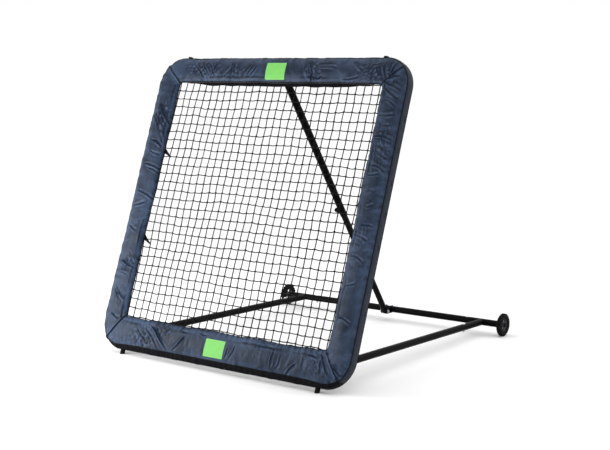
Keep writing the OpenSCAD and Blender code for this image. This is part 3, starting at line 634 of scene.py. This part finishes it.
# ---- Padded sleeves ----
# Four foam pads in slate blue coated nylon, backed and edged in black cloth. Each sleeve wraps its
# tube from the front, is piped along its long seams and mitred at the corners. The nylon is a
# little longer than its foam, so it buckles between the seams and gathers in the corners. The
# nylon's colour holds painted shade in its folds and a painted highlight on its ridges, and the
# near-black cloth under the bottom sleeve and in the top sleeve's hem is painted shade.

# The frame's outer corners, and half the straight length between them.
corner_r = 0.1549
line = mid - corner_r
# A sleeve's outline keeps its true size out to held. From there it is stretched, so that its
# nominal width becomes the width of each sleeve.
held = 0.048
nominal = 0.150
mitre = 0.0012
# Sections along a sleeve, and the points of a section at its long seams.
stations = 420
back_seam, first_seam, last_seam = 4, 15, 64

pad_cloth, pen = new_material("pad_cloth")
weave = woven(*cloth_lay(pen), 0.0012, 0.0012)
place = pen.node("TexCoord", out="Object")
patch = pen.node("TexNoise", {"Vector": place, "Scale": 4, "Detail": 3})
crush = pen.node(
    "TexNoise", {"Vector": place, "Scale": 38, "Detail": 4, "Roughness": 0.55, "Distortion": 0.8}
)
crinkle = 1 - (crush - 0.5).size() * 5
crumpled = patch.above(0.5, 0.25)
rub = pen.node("TexNoise", {"Vector": place, "Scale": 60, "Detail": 5, "Roughness": 0.7})
rub = rub.above(0.6, 0.2)
# Painted shade in the folds and a painted highlight on the ridges, from the sleeve's fold value.
fold_shade = pen.node("Attribute", attribute_name="fold_shade", out="Fac") - 0.5
tone = 0.85 * patch - 0.19 + 0.2 * weave + 0.2 * rub * crumpled + 1.15 * fold_shade
fine = pen.node("Bump", {"Height": weave, "Strength": 0.25, "Distance": 0.0003})
slate = tone.mix((0.005, 0.010, 0.021, 1), (0.052, 0.081, 0.145, 1))
rough = 0.4 + 0.14 * patch + 0.08 * rub
crinkle = crinkle * (0.25 + 0.75 * crumpled)
finish(pen, slate, rough, gloss=0.11, relief=crinkle, part=0.5, deep=0.0016, under=fine)


def lining(name, thin, thick, gloss):
    """The plain cloth of the sides and the back, between two tones."""
    made, pen = new_material(name)
    weave = woven(*cloth_lay(pen), 0.0014, 0.0014)
    place = pen.node("TexCoord", out="Object")
    dust = pen.node("TexNoise", {"Vector": place, "Scale": 24, "Detail": 5, "Roughness": 0.6})
    yarn = (0.3 * weave + 0.7 * dust).mix(thin, thick)
    finish(pen, yarn, 0.5 + 0.2 * dust, gloss, relief=weave, part=0.3, deep=0.0003)
    return made


edge_cloth = lining("edge_cloth", (0.008, 0.010, 0.015, 1), (0.032, 0.039, 0.056, 1), 0.12)
# Near-black side cloth for the bottom sleeve's underside and the top sleeve's hem: painted shade.
underside_shade_cloth = lining("underside_shade_cloth", (0.003, 0.003, 0.004, 1), (0.010, 0.010, 0.012, 1), 0.02)
back_cloth = lining("back_cloth", (0.020, 0.021, 0.025, 1), (0.055, 0.057, 0.064, 1), 0.1)

piping_r = 0.0021
piping_cloth, pen = new_material("piping_cloth")
place = pen.node("TexCoord", out="Object")
ribs = pen.node(
    "TexWave", {"Vector": place, "Scale": 500, "Distortion": 2, "Detail": 1},
    bands_direction="DIAGONAL",
)
yarn = ribs.mix((0.003, 0.003, 0.003, 1), (0.010, 0.010, 0.011, 1))
finish(pen, yarn, 0.5 + 0.15 * ribs, gloss=0.04, relief=ribs, part=0.3, deep=0.0003)


def sleeve_section():
    """Outline of a sleeve: s inwards from its outer edge, d forwards, and how free the cloth is.
    It runs from behind the tube round the side, over the front and back under to the tube."""
    wrap = np.array([
        (16.5, -25.5), (13, -27.6), (9, -28.2), (5.6, -27.2), (3.2, -24.6), (1.8, -20.5),
        (1.0, -16), (0.5, -11), (0.3, -6), (0.3, -1), (0.5, 4), (1.0, 8.5), (2.0, 12.5),
        (3.4, 15.6), (5.1, 17.8), (7.2, 19.6),
    ]) / 1000
    knots_s = np.array([7.2, 13, 21, 40, 75, 110, 135, 146, 150]) / 1000
    knots_d = np.array([19.6, 25.5, 30, 33.5, 35, 33, 27.5, 20, 13]) / 1000
    fine = np.cumsum(np.hypot(
        np.diff(knots_s, prepend=knots_s[0]), np.diff(knots_d, prepend=knots_d[0])
    ))
    run = np.linspace(0, fine[-1], 50)
    crown = np.stack([np.interp(run, fine, knots_s), np.interp(run, fine, knots_d)], 1)
    for _ in range(6):
        crown[1:-1] = (crown[:-2] + 2 * crown[1:-1] + crown[2:]) / 4
    back_s = np.array([150, 148, 135, 120, 100, 80, 66]) / 1000
    back_d = np.array([10.5, 8, 7.2, 6.8, 6.5, 6.3, 6.2]) / 1000
    back = np.stack([back_s, back_d], 1)
    turn = np.radians(np.linspace(60, 231, 18))
    channel = np.stack([sleeve_r + 0.0214 * np.cos(turn), 0.0214 * np.sin(turn)], 1)
    points = np.vstack([wrap, crown[1:], back, channel])
    free = np.concatenate([
        np.clip(np.linspace(-0.3, 1.1, 16), 0, 1), np.ones(49),
        np.linspace(0.5, 0, 7), np.zeros(18),
    ])
    return points, free


def crease(x, w, x0, w0, x1, w1, deep, wide, bow=0.0):
    """A fold from (x0, w0) to (x1, w1): a groove, narrow where it starts, with a roll beside it."""
    length = math.hypot(x1 - x0, w1 - w0)
    ux, uw = (x1 - x0) / length, (w1 - w0) / length
    a = ((x - x0) * ux + (w - w0) * uw) / length
    b = (x - x0) * -uw + (w - w0) * ux - bow * 4 * a * (1 - a)
    b = b - 0.0022 * np.sin(7 * a + 40 * x0)
    fade = np.clip(a / 0.2, 0, 1) * np.clip((1 - a) / 0.5, 0, 1)
    fade = fade * fade * (3 - 2 * fade)
    q = b / (wide * (0.65 + 0.7 * np.clip(a, 0, 1)))
    rolls = 0.9 * np.exp(-(((q - 1.7) / 1.1) ** 2)) + 0.4 * np.exp(-((q + 1.7) ** 2))
    return deep * fade * (rolls - np.exp(-q * q))


def spread(field, reach):
    """The average of a grid over reach steps each way."""
    for axis in (0, 1):
        field = sum(np.roll(field, k, axis) for k in range(-reach, reach + 1)) / (2 * reach + 1)
    return field


def buckle(base, rest):
    """Settles the front cloth by a cloth simulation: rest is its cut, base its shape on the foam."""
    n, m = base.shape[:2]
    corner = np.arange(n * m).reshape(n, m)
    faces = np.stack([corner[:-1, :-1], corner[:-1, 1:], corner[1:, 1:], corner[1:, :-1]], -1)
    mesh = bpy.data.meshes.new("cloth")
    mesh.from_pydata(base.reshape(-1, 3).tolist(), [], faces.reshape(-1, 4)[:, ::-1].tolist())
    sheet = bpy.data.objects.new("cloth", mesh)
    scene.collection.objects.link(sheet)
    sewn = sheet.vertex_groups.new(name="sewn")
    edges = (corner[:, :2], corner[:, -2:], corner[:2], corner[-2:])
    rim = np.concatenate([edge.ravel() for edge in edges])
    sewn.add([int(v) for v in np.unique(rim)], 1, "REPLACE")
    sheet.shape_key_add(name="basis")
    cut = sheet.shape_key_add(name="cut")
    cut.data.foreach_set("co", rest.ravel())
    cloth = sheet.modifiers.new("cloth", "CLOTH")
    cloth.settings.quality = 4
    cloth.settings.mass = 0.12
    cloth.settings.tension_stiffness = cloth.settings.compression_stiffness = 14
    cloth.settings.shear_stiffness = 4
    cloth.settings.bending_stiffness = 0.6
    cloth.settings.air_damping = 2
    cloth.settings.vertex_group_mass = "sewn"
    cloth.settings.rest_shape_key = cut
    cloth.settings.use_pressure = True
    cloth.settings.uniform_pressure_force = 2.5
    cloth.settings.effector_weights.gravity = 0
    cloth.collision_settings.use_collision = False
    for tick in range(1, 21):
        scene.frame_set(tick)
    settled = np.zeros(n * m * 3)
    sheet.evaluated_get(bpy.context.evaluated_depsgraph_get()).data.vertices.foreach_get("co", settled)
    scene.frame_set(1)
    bpy.data.objects.remove(sheet)
    bpy.data.meshes.remove(mesh)
    return settled.reshape(n, m, 3)


def pad_grid(width, width_a, width_b, seed, folds, slack, crumples, label):
    """Points (n, m, 3) of one sleeve, drawn for the lower side of the frame, and how far each
    stands in a fold (0) or on a ridge (1), which the cloth's colour takes up as painted shade in
    the folds and a painted highlight on the ridges."""
    section, free = sleeve_section()
    arc = corner_r * math.pi / 4
    total = 2 * arc + 2 * line
    run = np.linspace(0, total, stations)
    f = run / total
    gap_turn = mitre / corner_r / 3
    sweep = math.pi / 4 - gap_turn
    left_end, right_end = run < arc, run > total - arc
    down = math.radians(270)
    turn = np.where(
        left_end, math.radians(225) + gap_turn + sweep * run / arc,
        np.where(right_end, down + sweep * (run - total + arc) / arc, down),
    )
    cx = np.where(left_end, -line, np.where(right_end, line, run - arc - line))
    outer = np.stack([cx + corner_r * np.cos(turn), -line + corner_r * np.sin(turn)], 1)
    inward = -np.stack([np.cos(turn), np.sin(turn)], 1)
    reach_a, reach_b = -(mid - width_a - mitre), mid - width_b - mitre
    inner_x = reach_a + (reach_b - reach_a) * f
    sway = 0.0020 * smooth_noise(inner_x, 0 * inner_x, (0.12, 1), seed) * np.sin(np.pi * f) ** 0.5
    inner = np.stack([inner_x, -mid + width - 0.0025 * np.sin(np.pi * f) + sway], 1)
    s, d = section[:, 0], section[:, 1]
    hold = np.minimum(s, held)[None, :, None]
    share = (np.maximum(0, s - held) / (nominal - held))[None, :, None]
    base = outer[:, None] + inward[:, None] * hold
    flat = base + (inner[:, None] - base) * share
    x, w = flat[..., 0], flat[..., 1] + mid
    ends = abs(2 * f - 1)[:, None]
    deep = d[None, :] - np.where(d > 0.027, 0.004, 0)[None, :] * ends ** 6
    grid = np.stack([x, -deep * np.ones_like(x), flat[..., 1]], -1)
    du = np.gradient(grid, axis=0)
    dv = np.roll(grid, -1, 1) - np.roll(grid, 1, 1)
    normal = np.cross(dv, du)
    normal /= np.linalg.norm(normal, axis=2)[..., None]

    # Waves and wrinkles of the cloth over its foam, the folds, the crumples, the valley along the
    # inner seam and the dips at the mitres.
    lift = 0.0010 * smooth_noise(x, w, (0.16, 0.10), seed + 1)
    lift += 0.0006 * smooth_noise(x, w, (0.05, 0.09), seed + 2)
    where = np.clip(0.5 + 0.9 * smooth_noise(x, w, (0.22, 0.2), seed + 3), 0, 1)
    lift += 0.0010 * where * (abs(smooth_noise(x, w, (0.045, 0.11), seed + 4)) - 0.5)
    lift += 0.0005 * where * (abs(smooth_noise(x, w, (0.020, 0.045), seed + 5)) - 0.5)
    for x0, w0, x1, w1, deep, wide, *bow in folds:
        lift += crease(x, w, x0, w0, x1, w1, 1.45 * deep, 0.6 * wide, *bow)
    for k, (x0, w0, reach_x, reach_w, height) in enumerate(crumples):
        zone = np.exp(-(((x - x0) / reach_x) ** 2) - ((w - w0) / reach_w) ** 2)
        folded = abs(smooth_noise(x + 0.3 * w, w - 0.3 * x, (0.030, 0.022), seed + 10 + k))
        lift += height * zone * (folded - 0.6)
    valley = np.exp(-((s[None, :] - nominal + 0.026) / 0.007) ** 2) * (d[None, :] > 0.02)
    lift -= 0.0035 * valley * np.clip(0.6 + 0.9 * smooth_noise(x, 0 * x, (0.20, 1), seed + 7), 0, 1.4)
    mitre_gap = np.minimum(run, total - run)[:, None]
    lift -= 0.0085 * np.exp(-((mitre_gap / 0.008) ** 2)) * (d[None, :] > 0.012)
    room = np.where(s < held, np.hypot(s - sleeve_r, d) - 0.0226, 0.012)[None, :]
    lift = np.maximum(lift, -room) * free[None, :]
    shaped = grid + normal * lift[..., None]

    front = slice(first_seam - 2, last_seam)
    rest = shaped[:, front].copy()
    uneven = 0.5 + 0.8 * smooth_noise(run, 0 * run, (0.25, 1), seed + 8)
    stretch = slack[0] + slack[1] * np.clip(uneven, 0, 1.3)
    for middle, reach, extra in slack[2:]:
        stretch += extra * np.exp(-(((run - total / 2 - middle) / reach) ** 2))
    growth = np.cumsum(stretch) * (total / stations)
    rest[..., 0] += growth[:, None]
    rest[..., 2] *= 1.02
    settled = buckle(shaped[:, front], rest)
    moved = ((settled - shaped[:, front]) * normal[:, front]).sum(-1)
    cap = 0.007
    moved = cap * np.tanh(moved / cap)
    lift[:, front] += moved
    if label:
        calm = np.clip((0.080 - abs(x)) / 0.02, 0, 1)
        lift *= 1 - 0.75 * calm
    puckers = smooth_noise(x, 0 * x, (0.034, 1), seed + 6)
    edge_in = np.exp(-((s[None, :] - nominal) / 0.018) ** 2) * (d[None, :] > 0.010)
    edge_out = np.exp(-((s[None, :] - 0.010) / 0.016) ** 2) * (d[None, :] > 0.004)
    lift += 0.0009 * puckers * edge_in + 0.0009 * puckers * edge_out
    lift = np.clip(lift, np.maximum(-0.011, -room), 0.008) * free[None, :]
    # Painted shade and highlight: the cloth's colour is darker in hollows, lighter on ridges.
    fold_shade = 0.5 + (lift - spread(lift, 4)) / 0.006 + (lift - spread(lift, 14)) / 0.016
    return grid + normal * lift[..., None], np.clip(fold_shade, 0, 1)


def flip(faces, uvs):
    """Corner UVs for the same faces with their corners in the other order."""
    out, k = [], 0
    for face in faces:
        out += uvs[k:k + len(face)][::-1]
        k += len(face)
    return out


def between(points, rows):
    """The line across a grid (n, m, 3) at one row, whole or not, for each station."""
    low = np.floor(rows).astype(int)
    share = (rows - low)[:, None]
    station = np.arange(len(rows))
    return points[station, low] * (1 - share) + points[station, low + 1] * share


def shade_hem(width, drop, seed):
    """A strip of backing cloth that hangs free below a sleeve's inner edge, as sections (n, 8, 3).
    In near-black cloth, it paints the shade under that edge.
    """
    x = np.linspace(-0.655, 0.655, 120)
    share = np.clip((0.655 - abs(x)) / 0.25, 0, 1)
    low = width + drop * share * share * (3 - 2 * share)
    low = low + 0.0015 * smooth_noise(x, 0 * x, (0.1, 1), seed)
    sag = 0.0012 * smooth_noise(x, 0 * x, (0.08, 1), seed + 1)
    sections = []
    for depth, order in ((0.0095, (0, 1, 2, 3)), (0.0080, (3, 2, 1, 0))):
        for k in order:
            w = (width - 0.014) * (1 - k / 3) + low * (k / 3)
            sections.append(np.stack([x, -(depth + sag * k / 3), w - mid], 1))
    return np.stack(sections, 1)


def sleeve(name, node, quarter, width, width_a, width_b, seed, folds, slack, crumples,
           outer_seam=(first_seam, first_seam), inner_seam=last_seam, side_cloth=edge_cloth,
           label=False, drop=0):
    """One sleeve, quarter turns from the lower side, between sleeves of width_a and width_b.
    slack is the cloth's least and added spare length, then (place, reach, extra) where it gathers.
    outer_seam is the seam's row at the ends and in the middle; drop is a hem's depth."""
    points, fold_shade = pad_grid(width, width_a, width_b, seed, folds, slack, crumples, label)
    n, m = points.shape[:2]
    faces, uvs = swept(points)
    uvs = flip(faces, uvs)
    faces = [face[::-1] for face in faces]
    made = mesh_piece(name, points.reshape(-1, 3), faces, uvs, pad_cloth)
    made.data.attributes.new("fold_shade", "FLOAT", "POINT").data.foreach_set("value", fold_shade.ravel())
    for cloth in (side_cloth, back_cloth):
        made.data.materials.append(cloth)
    ends = abs(np.linspace(-1, 1, n))
    seam_rows = outer_seam[0] + (outer_seam[1] - outer_seam[0]) * (1 - ends ** 8)
    station, row = np.divmod(np.arange((n - 1) * m), m)
    zone = np.where(row + 0.5 < seam_rows[station], 1, np.where(row >= inner_seam, 2, 0))
    made.data.polygons.foreach_set("material_index", np.append(zone, [2, 2]).astype(int))
    if drop:
        # The hem is near-black cloth: painted shade below the sleeve's inner edge.
        flap_sections = shade_hem(width, drop, seed + 30)
        flap_faces, flap_uvs = swept(flap_sections)
        flap = mesh_piece("flap", flap_sections.reshape(-1, 3), flap_faces, flap_uvs, underside_shade_cloth)
    only_selected(made)
    if drop:
        flap.select_set(True)
        bpy.ops.object.join()
    bpy.ops.object.shade_smooth_by_angle(angle=math.radians(60))
    made.data.transform(lean_back @ side_turn(quarter))
    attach(made, "frame")
    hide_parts(node)
    piping = [
        tube("piping", between(points, rows), piping_r, 8, piping_cloth)
        for rows in (seam_rows, np.full(n, float(inner_seam)), np.full(n, float(back_seam)))
    ]
    only_selected(piping[0])
    for welt in piping:
        welt.select_set(True)
    bpy.ops.object.join()
    piping[0].name = name + "_piping"
    piping[0].data.transform(lean_back @ side_turn(quarter))
    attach(piping[0], "frame")


side_w, top_w, bottom_w = 0.152, 0.142, 0.178
# Folds: start (along, inwards), end, depth, width and bow. Crumples: place, reach and height.
bottom_folds = [
    (-0.470, 0.155, -0.305, 0.030, 0.008, 0.008, 0.006),
    (-0.500, 0.135, -0.365, 0.030, 0.004, 0.007, 0.004),
    (-0.560, 0.130, -0.440, 0.040, 0.003, 0.008),
    (-0.420, 0.150, -0.370, 0.100, 0.004, 0.006),
    (-0.200, 0.130, -0.285, 0.030, 0.005, 0.007, -0.004),
    (-0.250, 0.150, -0.200, 0.140, 0.005, 0.007),
    (-0.130, 0.152, -0.060, 0.148, 0.005, 0.006),
    (0.090, 0.120, 0.070, 0.040, 0.003, 0.007),
    (0.130, 0.130, 0.100, 0.040, 0.003, 0.007),
    (0.230, 0.150, 0.390, 0.138, 0.006, 0.007),
    (0.371, 0.140, 0.363, 0.040, 0.004, 0.007),
    (0.420, 0.120, 0.400, 0.040, 0.003, 0.008),
    (0.520, 0.100, 0.450, 0.022, 0.004, 0.008),
    (0.560, 0.150, 0.640, 0.130, 0.004, 0.008),
    (0.650, 0.150, 0.660, 0.060, 0.003, 0.009),
    (0.670, 0.175, 0.790, 0.050, 0.009, 0.008, 0.004),
    (0.665, 0.180, 0.770, 0.105, 0.006, 0.006),
    (0.640, 0.160, 0.720, 0.050, 0.005, 0.009),
]
left_folds = [
    (-0.560, 0.055, -0.420, 0.160, 0.009, 0.009, -0.010),
    (-0.500, 0.020, -0.385, 0.130, -0.005, 0.010, -0.008),
    (-0.480, 0.060, -0.400, 0.100, 0.005, 0.007),
    (-0.340, 0.045, -0.300, 0.145, 0.007, 0.008),
    (-0.270, 0.060, -0.250, 0.140, 0.003, 0.008),
    (-0.203, 0.030, -0.174, 0.170, 0.006, 0.007),
    (-0.180, 0.050, -0.148, 0.176, 0.004, 0.006),
    (-0.053, 0.025, -0.002, 0.168, 0.006, 0.008),
    (0.045, 0.030, 0.020, 0.125, 0.004, 0.010, 0.006),
    (0.150, 0.025, 0.183, 0.105, 0.004, 0.009),
    (0.345, 0.030, 0.386, 0.145, 0.009, 0.007),
    (0.400, 0.040, 0.420, 0.120, -0.003, 0.008),
    (0.490, 0.030, 0.582, 0.130, -0.004, 0.009),
    (0.640, 0.050, 0.665, 0.125, 0.005, 0.008),
]
top_folds = [
    (0.590, 0.030, 0.480, 0.130, 0.003, 0.008),
    (0.520, 0.025, 0.460, 0.110, 0.004, 0.007),
    (0.470, 0.035, 0.400, 0.130, 0.003, 0.006),
    (0.410, 0.030, 0.440, 0.110, 0.004, 0.006),
    (0.360, 0.120, 0.285, 0.060, 0.004, 0.009),
    (0.300, 0.025, 0.290, 0.130, -0.004, 0.008),
    (0.160, 0.040, 0.220, 0.130, -0.003, 0.009),
    (0.120, 0.050, 0.190, 0.125, 0.003, 0.008),
    (-0.195, 0.025, -0.245, 0.090, 0.005, 0.006),
    (-0.245, 0.088, -0.222, 0.140, 0.005, 0.006),
    (-0.255, 0.060, -0.410, 0.072, 0.005, 0.008, 0.006),
    (-0.270, 0.125, -0.310, 0.104, 0.004, 0.006),
    (-0.470, 0.028, -0.555, 0.082, 0.006, 0.008),
    (-0.420, 0.125, -0.560, 0.110, 0.003, 0.007),
    (-0.700, 0.140, -0.735, 0.022, 0.005, 0.008),
    (-0.690, 0.140, -0.660, 0.030, 0.004, 0.009),
    (-0.705, 0.140, -0.785, 0.040, 0.006, 0.007),
]
right_folds = [
    (0.514, 0.130, 0.520, 0.025, 0.004, 0.008),
    (0.460, 0.110, 0.470, 0.030, 0.002, 0.007),
    (0.416, 0.140, 0.398, 0.020, 0.007, 0.007),
    (0.320, 0.100, 0.292, 0.020, 0.004, 0.007, 0.006),
    (0.268, 0.120, 0.232, 0.020, 0.005, 0.007, 0.005),
    (0.216, 0.130, 0.222, 0.040, 0.004, 0.007),
    (0.060, 0.100, 0.070, 0.040, 0.002, 0.009),
    (-0.034, 0.110, -0.028, 0.020, 0.006, 0.006),
    (-0.070, 0.140, -0.110, 0.030, 0.003, 0.007),
    (-0.180, 0.130, -0.215, 0.030, 0.004, 0.007, 0.008),
    (-0.330, 0.130, -0.300, 0.050, 0.003, 0.007, -0.006),
    (-0.480, 0.130, -0.510, 0.030, 0.004, 0.007, 0.008),
    (-0.690, 0.130, -0.750, 0.040, 0.007, 0.008),
    (0.600, 0.120, 0.560, 0.030, 0.003, 0.007),
    (0.660, 0.140, 0.590, 0.025, 0.005, 0.008),
    (0.690, 0.145, 0.640, 0.025, 0.006, 0.007),
    (0.700, 0.148, 0.720, 0.040, 0.005, 0.008),
]
bottom_crumples = [
    (-0.50, 0.080, 0.09, 0.05, 0.0040),
    (-0.36, 0.125, 0.06, 0.03, 0.0035),
    (0.62, 0.10, 0.06, 0.05, 0.002),
]
left_crumples = [
    (-0.47, 0.09, 0.07, 0.05, 0.0040),
    (0.36, 0.09, 0.05, 0.05, 0.0030),
    (0.55, 0.08, 0.06, 0.05, 0.002),
]
top_crumples = [
    (0.50, 0.075, 0.10, 0.045, 0.0045),
    (0.28, 0.08, 0.06, 0.05, 0.0025),
    (-0.24, 0.08, 0.05, 0.05, 0.003),
    (-0.62, 0.08, 0.08, 0.05, 0.0035),
]
right_crumples = [
    (0.36, 0.08, 0.12, 0.05, 0.0025),
    (-0.1, 0.08, 0.1, 0.05, 0.0015),
    (0.68, 0.10, 0.05, 0.05, 0.003),
]
# The bottom sleeve's underside strip, out to row 23.5 in the middle, is near-black painted shade.
sleeve(
    "pad_sleeve_bottom", "pad_bottom", 0, bottom_w, side_w, side_w, 20, bottom_folds,
    (0.008, 0.04, (-0.42, 0.12, 0.03)), bottom_crumples,
    outer_seam=(16, 23.5), side_cloth=underside_shade_cloth, label=True,
)
sleeve(
    "pad_sleeve_left", "pad_left", 1, side_w, top_w, bottom_w, 40, left_folds,
    (0.010, 0.045, (-0.38, 0.15, 0.03)), left_crumples,
)
sleeve(
    "pad_sleeve_top", "pad_top", 2, top_w, side_w, side_w, 60, top_folds,
    (0.010, 0.04, (0.45, 0.12, 0.05), (-0.65, 0.1, 0.03)), top_crumples,
    inner_seam=62, label=True, drop=0.016,
)
sleeve(
    "pad_sleeve_right", "pad_right", 3, side_w, bottom_w, top_w, 80, right_folds,
    (0.008, 0.035, (0.35, 0.2, 0.02)), right_crumples,
)

# ---- Blank labels ----
# Woven patches in bright green, left bare, sewn on the middle of the top and bottom pads.

label_w, label_h = 0.126, 0.090
# A line of stitches this far inside the rim, half this thick, with a stitch every so far.
stitch_in, stitch_half, stitch_pitch = 0.0035, 0.0006, 0.0042
label_cloth, pen = new_material("label_cloth")
along, across = cloth_lay(pen)
weave = woven(along, across, 0.0009, 0.0009)
place = pen.node("TexCoord", out="Object")
patch = pen.node("TexNoise", {"Vector": place, "Scale": 30, "Detail": 3})
to_side = label_w / 2 - along.size()
to_end = label_h / 2 - (across - label_h / 2).size()
rim = to_side.math("MINIMUM", to_side, to_end)
in_line = 1 - ((rim - stitch_in) * (1 / stitch_half)).size().above(1, 0.5)
stitch = in_line * (along + across).ripple(stitch_pitch).above(-0.3, 0.4)
green = (0.6 * weave + 0.4 * patch).mix((0.115, 0.43, 0.075, 1), (0.235, 0.61, 0.15, 1))
green = (stitch * 0.8).mix(green, (0.42, 0.76, 0.34, 1))
relief = weave + 4 * stitch
finish(pen, green, 0.5 + 0.15 * patch, gloss=0.2, relief=relief, part=0.4, deep=0.0003)


def label(name, node, pad_name, quarter, width):
    """A thin patch laid on the front of a sleeve, a little below its middle."""
    pad = bpy.data.objects[pad_name]
    back = (lean_back @ side_turn(quarter)).inverted()
    tree = BVHTree.FromPolygons(
        [back @ v.co for v in pad.data.vertices], [list(p.vertices) for p in pad.data.polygons]
    )
    low = 0.26 * width
    xs = np.linspace(-label_w / 2, label_w / 2, 43)
    ws = np.linspace(low, low + label_h, 31)
    rows = []
    for thick in (0.0003, 0.0013):
        rows.append([[
            tree.ray_cast(Vector((x, -0.2, -mid + w)), Vector((0, 1, 0)))[0] - Vector((0, thick, 0))
            for w in ws] for x in xs])
    under, over = (np.array(r, float) for r in rows)
    n, m = over.shape[:2]
    points = np.concatenate([over.reshape(-1, 3), under.reshape(-1, 3)])
    faces, uvs = [], []
    for i in range(n - 1):
        for j in range(m - 1):
            quad = [(i, j), (i, j + 1), (i + 1, j + 1), (i + 1, j)]
            for side, order in ((0, quad[::-1]), (n * m, quad)):
                faces.append([side + a * m + b for a, b in order])
                uvs += [(xs[a], ws[b] - low) for a, b in order]
    rim = [(i, 0) for i in range(n)] + [(n - 1, j) for j in range(1, m)]
    rim += [(i, m - 1) for i in range(n - 2, -1, -1)] + [(0, j) for j in range(m - 2, 0, -1)]
    for (a, b), (c, e) in zip(rim, rim[1:] + rim[:1]):
        faces.append([a * m + b, n * m + a * m + b, n * m + c * m + e, c * m + e])
        uvs += [(xs[a], ws[b] - low)] * 2 + [(xs[c], ws[e] - low)] * 2
    made = mesh_piece(name, points, faces, uvs, label_cloth)
    only_selected(made)
    bpy.ops.object.shade_smooth_by_angle(angle=math.radians(50))
    made.data.transform(lean_back @ side_turn(quarter))
    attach(made, "frame")
    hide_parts(node)


label("blank_label_bottom", "label_bottom", "pad_sleeve_bottom", 0, bottom_w)
label("blank_label_top", "label_top", "pad_sleeve_top", 2, top_w)
